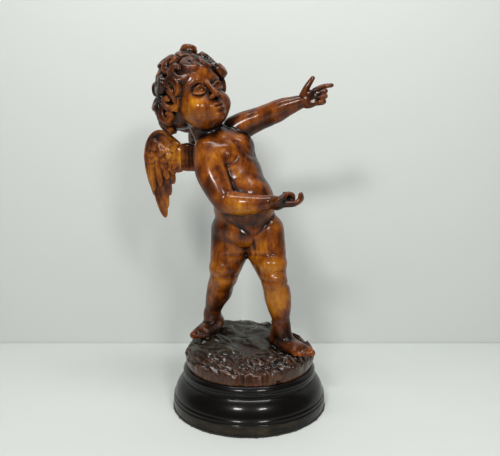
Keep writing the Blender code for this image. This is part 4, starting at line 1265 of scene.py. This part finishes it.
def fray_tree():
    """Covers the rim of a felt pad with short loose fibres."""
    group, tree, given, out = geometry_tree("fray_rim", (
        ("Fibres per square metre", "NodeSocketFloat"), ("Fibre length", "NodeSocketFloat"),
        ("Fibre radius", "NodeSocketFloat"), ("Seed", "NodeSocketInt")))
    pad, seed = given.outputs["Geometry"], given.outputs["Seed"]
    facing = tree.parts(tree.add("GeometryNodeInputNormal").outputs[0])
    rim = tree.add("FunctionNodeCompare", {0: tree.number("ABSOLUTE", facing["Z"]), 1: 0.5},
                   data_type="FLOAT", operation="LESS_THAN")
    spots = tree.add("GeometryNodeDistributePointsOnFaces", {
        "Mesh": pad, "Selection": rim.outputs[0], "Seed": seed,
        "Density": given.outputs["Fibres per square metre"]})
    tilt = tree.add("FunctionNodeRandomValue", {"Min": (-0.7,) * 3, "Max": (0.7,) * 3, "Seed": seed},
                    data_type="FLOAT_VECTOR")
    loose = tree.add("FunctionNodeRotateRotation", {"Rotation": spots.outputs["Rotation"],
                                                    "Rotate By": tilt.outputs[0]})
    start = tree.add("ShaderNodeCombineXYZ", {"Z": 0.0})
    reach = tree.add("ShaderNodeCombineXYZ", {"Z": given.outputs["Fibre length"]})
    line = tree.add("GeometryNodeCurvePrimitiveLine", {"Start": start.outputs[0], "End": reach.outputs[0]})
    thread = tree.add("GeometryNodeCurvePrimitiveCircle", {"Resolution": 3,
                                                           "Radius": given.outputs["Fibre radius"]})
    fibre = tree.add("GeometryNodeCurveToMesh", {"Curve": line.outputs[0], "Profile Curve": thread.outputs[0],
                                                 "Fill Caps": True})
    size = tree.add("FunctionNodeRandomValue", {2: 0.4, 3: 1.3, "Seed": seed}, data_type="FLOAT")
    fringe = tree.add("GeometryNodeInstanceOnPoints", {
        "Points": spots.outputs["Points"], "Instance": fibre.outputs[0], "Rotation": loose.outputs[0],
        "Scale": size.outputs[1]})
    both = tree.add("GeometryNodeJoinGeometry")
    for part in (pad, fringe.outputs[0]):
        tree.links.new(part, both.inputs[0])
    # fibres that hang below the pad are laid on the floor
    whole = tree.add("GeometryNodeRealizeInstances", {"Geometry": both.outputs[0]})
    spot = tree.parts(tree.place())
    resting = tree.add("ShaderNodeCombineXYZ", {"X": spot["X"], "Y": spot["Y"],
                                                "Z": tree.number("MAXIMUM", spot["Z"], 0.0)})
    laid = tree.add("GeometryNodeSetPosition", {"Geometry": whole.outputs[0], "Position": resting.outputs[0]})
    close_tree(tree, given, out, laid.outputs[0])
    return group


# The felt's rim: how far it stands out, frays and stands out in tufts, whose places are in degrees
# round from the statue's left
FELT_OVERHANG = 0.0006
FELT_FRAY = 0.0005
FELT_EDGE = 0.0003
TUFT_REACH = 0.0013
LOOSE_TUFTS = (211, 226, 243, 275, 289, 304, 326, 20, 61, 104, 138, 167)
FELT_POINTS = 720
FIBRES = {"Fibres per square metre": 4.0e6, "Fibre length": 0.0011,
          "Fibre radius": 0.00006, "Seed": 4}


def felt_ring(inset, height):
    """Points round the felt at a height."""
    for step in range(FELT_POINTS):
        angle = math.tau * step / FELT_POINTS
        fray = 0.5 * math.sin(17 * angle) + 0.3 * math.sin(41 * angle + 1.0) + 0.2 * math.sin(67 * angle)
        fray += 0.5 * math.sin(151 * angle + 0.4) + 0.5 * math.sin(233 * angle + height * 900)
        tufts = sum(math.exp(-((math.degrees(angle) - turn) / 0.9) ** 2) for turn in LOOSE_TUFTS)
        reach = BAND_RADIUS + FELT_OVERHANG + FELT_FRAY * fray + TUFT_REACH * tufts - inset
        yield reach * math.cos(angle), reach * math.sin(angle), height


def felt_piece(finish):
    """The felt pad, cut a little unevenly and frayed at its rim."""
    felt = bmesh.new()
    levels = ((0.0010, 0.0), (0.0, FELT_EDGE), (0.0, FELT_TOP - FELT_EDGE), (0.0010, FELT_TOP))
    rings = [[felt.verts.new(spot) for spot in felt_ring(*level)] for level in levels]
    for lower, upper in zip(rings, rings[1:]):
        for step in range(FELT_POINTS):
            after = (step + 1) % FELT_POINTS
            felt.faces.new((lower[step], lower[after], upper[after], upper[step]))
    felt.faces.new(list(reversed(rings[0])))
    felt.faces.new(rings[-1])
    item = placed("black_felt_pad", mesh_from("black_felt_pad", felt))
    return run_tree(item, fray_tree(), {**FIBRES, "Finish": finish})


# Finishes

def new_finish(name):
    """A material with an empty tree, its builder and its surface output."""
    finish = bpy.data.materials.new(name)
    finish.use_nodes = True
    finish.node_tree.nodes.clear()
    tree = Tree(finish.node_tree.nodes, finish.node_tree.links)
    return finish, tree, tree.add("ShaderNodeOutputMaterial")


def grain(tree, scale, size, detail=3.0, rough=0.5, shift=0.0):
    """Noise on the piece's own coordinates, from 0 to 1."""
    mapped = tree.add("ShaderNodeMapping", {"Vector": tree.own_place(), "Scale": scale,
                                            "Location": (shift,) * 3})
    noise = tree.add("ShaderNodeTexNoise", {"Vector": mapped.outputs[0], "Scale": size, "Detail": detail,
                                            "Roughness": rough})
    return noise.outputs[0]


def bumped(tree, height, strength, distance):
    """A surface normal that follows a height."""
    inputs = {"Height": height, "Strength": strength, "Distance": distance}
    return tree.add("ShaderNodeBump", inputs).outputs[0]


def surface(tree, out, inputs):
    """The shader of a finish, joined to its output."""
    shader = tree.add("ShaderNodeBsdfPrincipled", inputs)
    tree.links.new(shader.outputs[0], out.inputs["Surface"])


def colours(tree, share, stops):
    """A colour ramp through (place, colour) stops."""
    node = tree.add("ShaderNodeValToRGB", {"Fac": share})
    line = node.color_ramp
    while len(line.elements) < len(stops):
        line.elements.new(0.5)
    for element, (place, colour) in zip(line.elements, stops):
        element.position = place
        element.color = (*colour, 1.0)
    return node.outputs["Color"]


def sums(tree, base, *terms):
    """base plus each (socket, weight)."""
    for socket, weight in terms:
        base = tree.number("MULTIPLY_ADD", socket, weight, base)
    return base


def shares(tree, value, low, high, start=0.0, end=1.0):
    """A number carried from low..high to start..end, without passing either."""
    return tree.add("ShaderNodeMapRange", {"Value": value, "From Min": low, "From Max": high,
                                           "To Min": start, "To Max": end}).outputs["Result"]


def mixed(tree, share, first, second):
    """A colour between two others, each a colour or a socket."""
    inputs = {0: share, 6: first, 7: second}
    inputs = {place: (*value, 1.0) if isinstance(value, tuple) else value for place, value in inputs.items()}
    return tree.add("ShaderNodeMix", inputs, data_type="RGBA").outputs[2]


def marked(tree, name):
    return tree.add("ShaderNodeAttribute", attribute_name=name, attribute_type="GEOMETRY").outputs["Fac"]


# Heights in which the stone turns from dark to its top's colour, and from its foot's to dark
TOP_STONE = (ROCK_BOTTOM + 0.036, ROCK_BOTTOM + 0.042)
FOOT_STONE = (ROCK_BOTTOM + 0.020, ROCK_BOTTOM + 0.012)

# Heights in which the plinth's rubbed foot band ends
RUBBED_BAND = (0.0185, 0.0150)


def stone_colour(tree, patches, clouds, fine, hollow_shade_and_stain):
    """The rock: nearly black, green-grey on top, redder round its foot."""
    height = tree.parts(tree.own_place())["Z"]
    level = sums(tree, 0.0, (height, 1.0), (patches, 0.012))
    # the rock is darker in its hollows: painted shade, partly stain gathered there
    patch = sums(tree, 0.0, (patches, 0.7), (fine, 0.25), (hollow_shade_and_stain, -0.45), (clouds, 0.35))
    dark = colours(tree, patch, ((0.10, (0.003, 0.002, 0.0014)), (0.35, (0.012, 0.0060, 0.0034)),
                                 (0.60, (0.036, 0.0145, 0.0076)), (0.90, (0.130, 0.050, 0.0220))))
    top = colours(tree, patch, ((0.10, (0.004, 0.0030, 0.0018)), (0.40, (0.012, 0.0088, 0.0048)),
                                (0.70, (0.038, 0.0280, 0.0160)), (0.95, (0.100, 0.080, 0.0480))))
    foot_part = colours(tree, patch, ((0.10, (0.006, 0.003, 0.0020)), (0.45, (0.040, 0.014, 0.0060)),
                                      (0.85, (0.120, 0.042, 0.0160))))
    colour = mixed(tree, shares(tree, level, *TOP_STONE), dark, top)
    return mixed(tree, shares(tree, height, *FOOT_STONE), colour, foot_part)


def varnished_carving():
    """Old varnish over carved wood, golden to red-brown. It is darker to black in the hollows and lighter on
    the ridges: partly varnish gathered in the hollows and worn off the ridges, partly painted shade and painted
    highlights.
    """
    finish, tree, out = new_finish("varnished_carving")
    hollow_shade_and_stain, deep_shade_and_stain, locks = marked(tree, "hollow_shade_and_stain"), marked(tree, "deep_shade_and_stain"), marked(tree, "hair")
    stone, tone_and_painted_light = marked(tree, "rock"), marked(tree, "tone_and_painted_light")
    clouds = grain(tree, (1, 1, 0.8), 22.0, 3.0, 0.55)
    patches = grain(tree, (1, 1, 0.7), 62.0, 4.0, 0.6, 3.1)
    streaks = grain(tree, (1, 1, 0.10), 330.0, 3.0, 0.6)
    fine = grain(tree, (1, 1, 0.35), 900.0, 2.0, 0.6)
    # how light the wood is: its own patches and grain, patches of painted light and shade, and painted shade in
    # creases and recesses (partly varnish gathered there)
    height = sums(tree, -0.93, (tone_and_painted_light, 0.66), (clouds, 1.05), (patches, 0.80), (streaks, 0.26), (fine, 0.10),
                  (hollow_shade_and_stain, -0.52), (deep_shade_and_stain, -0.34), (locks, -0.02))
    wood = colours(tree, height, (
        (0.00, (0.0030, 0.0012, 0.0007)), (0.16, (0.009, 0.0030, 0.0012)), (0.32, (0.032, 0.0080, 0.0020)),
        (0.46, (0.092, 0.0195, 0.0022)), (0.60, (0.190, 0.0450, 0.0030)), (0.76, (0.320, 0.0980, 0.0045)),
        (1.00, (0.540, 0.2200, 0.0110))))
    # dark specks and old knocks
    speck_place = grain(tree, (1, 1, 1), 420.0, 2.0, 0.5, 1.7)
    speck = shares(tree, speck_place, 0.68, 0.73, 0.0, 0.75)
    wood = mixed(tree, speck, wood, (0.012, 0.005, 0.003))
    colour = mixed(tree, stone, wood, stone_colour(tree, patches, clouds, fine, hollow_shade_and_stain))
    # tool facets, growth lines and small dents
    place = tree.add("ShaderNodeMapping", {"Vector": tree.own_place(), "Scale": (1, 1, 0.8)}).outputs[0]
    facets, chips = (tree.add("ShaderNodeTexVoronoi", {"Vector": place, "Scale": scale, "Randomness": 1.0},
                              feature=feature).outputs["Distance"]
                     for scale, feature in ((150.0, "SMOOTH_F1"), (260.0, "F1")))
    wood_relief = sums(tree, 0.0, (facets, 0.6), (streaks, 0.20), (patches, 0.8), (fine, 0.10))
    rock_relief = sums(tree, 0.0, (chips, 0.15), (fine, 0.4), (patches, 0.5))
    reliefs = {0: stone, 2: wood_relief, 3: rock_relief}
    relief = tree.add("ShaderNodeMix", reliefs, data_type="FLOAT").outputs[0]
    rough = sums(tree, 0.26, (patches, 0.20), (hollow_shade_and_stain, 0.20), (stone, -0.04), (locks, 0.05))
    surface(tree, out, {
        "Base Color": colour, "Roughness": rough, "Normal": bumped(tree, relief, 0.30, 0.0012),
        "Coat Weight": sums(tree, 0.55, (stone, 0.20)), "Coat Roughness": 0.17, "Coat IOR": 1.48,
        "Coat Normal": bumped(tree, relief, 0.16, 0.0010), "Specular IOR Level": 0.06})
    return finish


def ebonised_plinth():
    """Polished black wood, rubbed brown on its lowest band."""
    finish, tree, out = new_finish("ebonised_plinth")
    clouds = grain(tree, (1, 1, 3), 60.0, 4.0, 0.6)
    rubs = grain(tree, (1, 1, 4), 24.0, 5.0, 0.65, 2.2)
    fine = grain(tree, (1, 1, 9), 420.0, 2.0, 0.5)
    band = shares(tree, tree.parts(tree.own_place())["Z"], *RUBBED_BAND)
    worn = tree.number("MULTIPLY", band, shares(tree, rubs, 0.40, 0.66))
    black = colours(tree, clouds, ((0.2, (0.0016, 0.0012, 0.0010)), (0.8, (0.0044, 0.0030, 0.0024))))
    brown = colours(tree, sums(tree, 0.0, (clouds, 0.7), (fine, 0.3)), (
        (0.2, (0.010, 0.008, 0.004)), (0.5, (0.036, 0.026, 0.012)), (0.8, (0.085, 0.058, 0.028))))
    relief = sums(tree, 0.0, (fine, 0.25), (clouds, 0.5))
    surface(tree, out, {
        "Base Color": mixed(tree, worn, black, brown),
        "Roughness": sums(tree, 0.24, (clouds, 0.14), (worn, 0.22)),
        "Normal": bumped(tree, relief, 0.12, 0.0006), "Coat Weight": 0.32, "Coat Roughness": 0.10,
        "Specular IOR Level": 0.1})
    return finish


def black_felt():
    finish, tree, out = new_finish("black_felt")
    fuzz = grain(tree, (1, 1, 1), 1600.0, 4.0, 0.7)
    surface(tree, out, {
        "Base Color": colours(tree, fuzz, ((0.3, (0.004, 0.004, 0.004)), (0.7, (0.024, 0.023, 0.022)))),
        "Roughness": 0.95, "Normal": bumped(tree, fuzz, 0.6, 0.0004), "Sheen Weight": 0.4,
        "Sheen Roughness": 0.5, "Specular IOR Level": 0.2})
    return finish


def pale_backdrop():
    finish, tree, out = new_finish("pale_backdrop")
    shader = tree.add("ShaderNodeBsdfPrincipled", {"Base Color": (0.655, 0.675, 0.655, 1.0), "Roughness": 0.7,
                                                   "Specular IOR Level": 0.1})
    # seen from behind, the wall is clear
    both = tree.add("ShaderNodeMixShader", {0: tree.add("ShaderNodeNewGeometry").outputs["Backfacing"]})
    tree.links.new(shader.outputs[0], both.inputs[1])
    tree.links.new(tree.add("ShaderNodeBsdfTransparent").outputs[0], both.inputs[2])
    tree.links.new(both.outputs[0], out.inputs["Surface"])
    return finish


# Studio: the floor and the wall, in metres
FLOOR_REACH = 3.0
WALL_DEPTH, WALL_HEIGHT = 0.295, 2.6
SEAM_WIDTH, SEAM_DEPTH = 0.0014, 0.02

# Place, aim, size, power and colour of each lamp
SOFTBOXES = {
    "left_softbox": ((-0.46, -1.36, 1.15), (-0.02, 0.0, 0.25), (0.30, 0.20), 11.5, (1.0, 0.99, 0.96)),
    "right_softbox": ((0.52, -1.32, 1.08), (0.02, 0.0, 0.25), (0.28, 0.18), 8.0, (1.0, 0.99, 0.96)),
    "top_softbox": ((0.0, -0.35, 1.90), (0.0, 0.20, 0.25), (1.4, 0.35), 18.0, (0.98, 1.0, 0.99)),
}
SKY_COLOUR, SKY_STRENGTH = (0.90, 0.96, 1.0, 1.0), 0.12

# The camera: its place, how far it looks down in degrees, and its lens
CAMERA_PLACE = (0.0015, -0.862, 0.400)
LOOK_DOWN = 6.6
SENSOR_WIDTH = 36.0
FOCAL_LENGTH = 520.0 * SENSOR_WIDTH / 500.0


def backdrop(finish):
    """A pale floor and the wall behind it, with a narrow seam between them."""
    foot_line = WALL_DEPTH - SEAM_WIDTH
    line = [(-FLOOR_REACH, 0.0), (foot_line, 0.0), (foot_line, -SEAM_DEPTH), (WALL_DEPTH, -SEAM_DEPTH),
            (WALL_DEPTH, WALL_HEIGHT)]
    sweep = bmesh.new()
    left, right = ([sweep.verts.new((x, y, z)) for y, z in line] for x in (-FLOOR_REACH, FLOOR_REACH))
    for step in range(len(line) - 1):
        sweep.faces.new((left[step], right[step], right[step + 1], left[step + 1]))
    item = placed("backdrop", mesh_from("backdrop", sweep))
    item.data.materials.append(finish)
    item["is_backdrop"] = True


def soft_light(name, spot, aim, size, power, colour):
    lamp = bpy.data.lights.new(name, "AREA")
    lamp.shape = "RECTANGLE"
    lamp.size, lamp.size_y = size
    lamp.energy = power
    lamp.color = colour
    item = placed(name, lamp)
    item.location = spot
    item.rotation_euler = (Vector(aim) - Vector(spot)).to_track_quat("-Z", "Y").to_euler()


def studio():
    backdrop(pale_backdrop())
    for name, settings in SOFTBOXES.items():
        soft_light(name, *settings)
    scene = bpy.context.scene
    scene.world = bpy.data.worlds.new("studio")
    scene.world.use_nodes = True
    sky = scene.world.node_tree.nodes["Background"]
    sky.inputs["Color"].default_value = SKY_COLOUR
    sky.inputs["Strength"].default_value = SKY_STRENGTH
    scene.view_settings.view_transform = "Standard"
    lens = bpy.data.cameras.new("camera")
    lens.sensor_width = SENSOR_WIDTH
    lens.lens = FOCAL_LENGTH
    scene.camera = placed("camera", lens)
    scene.camera.location = CAMERA_PLACE
    scene.camera.rotation_euler = (math.radians(90.0 - LOOK_DOWN), 0.0, 0.0)


def finish_piece(item, node, material=None):
    if material:
        item.data.materials.clear()
        item.data.materials.append(material)
    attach(item, "root")
    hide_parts(node)


def main():
    wood, ebony, felt = varnished_carving(), ebonised_plinth(), black_felt()
    finish_piece(cherub_piece(), "cherub_on_rock", wood)
    finish_piece(wing_piece("carved_right_wing", RIGHT_WING), "right_wing", wood)
    finish_piece(wing_piece("carved_left_wing", LEFT_WING), "left_wing", wood)
    finish_piece(plinth_piece(ebony), "plinth")
    finish_piece(felt_piece(felt), "felt_pad")
    studio()
    boxes = {name: [list(corner) for corner in box] for name, box in (("cad", cad_box), ("visual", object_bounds()))}


main()
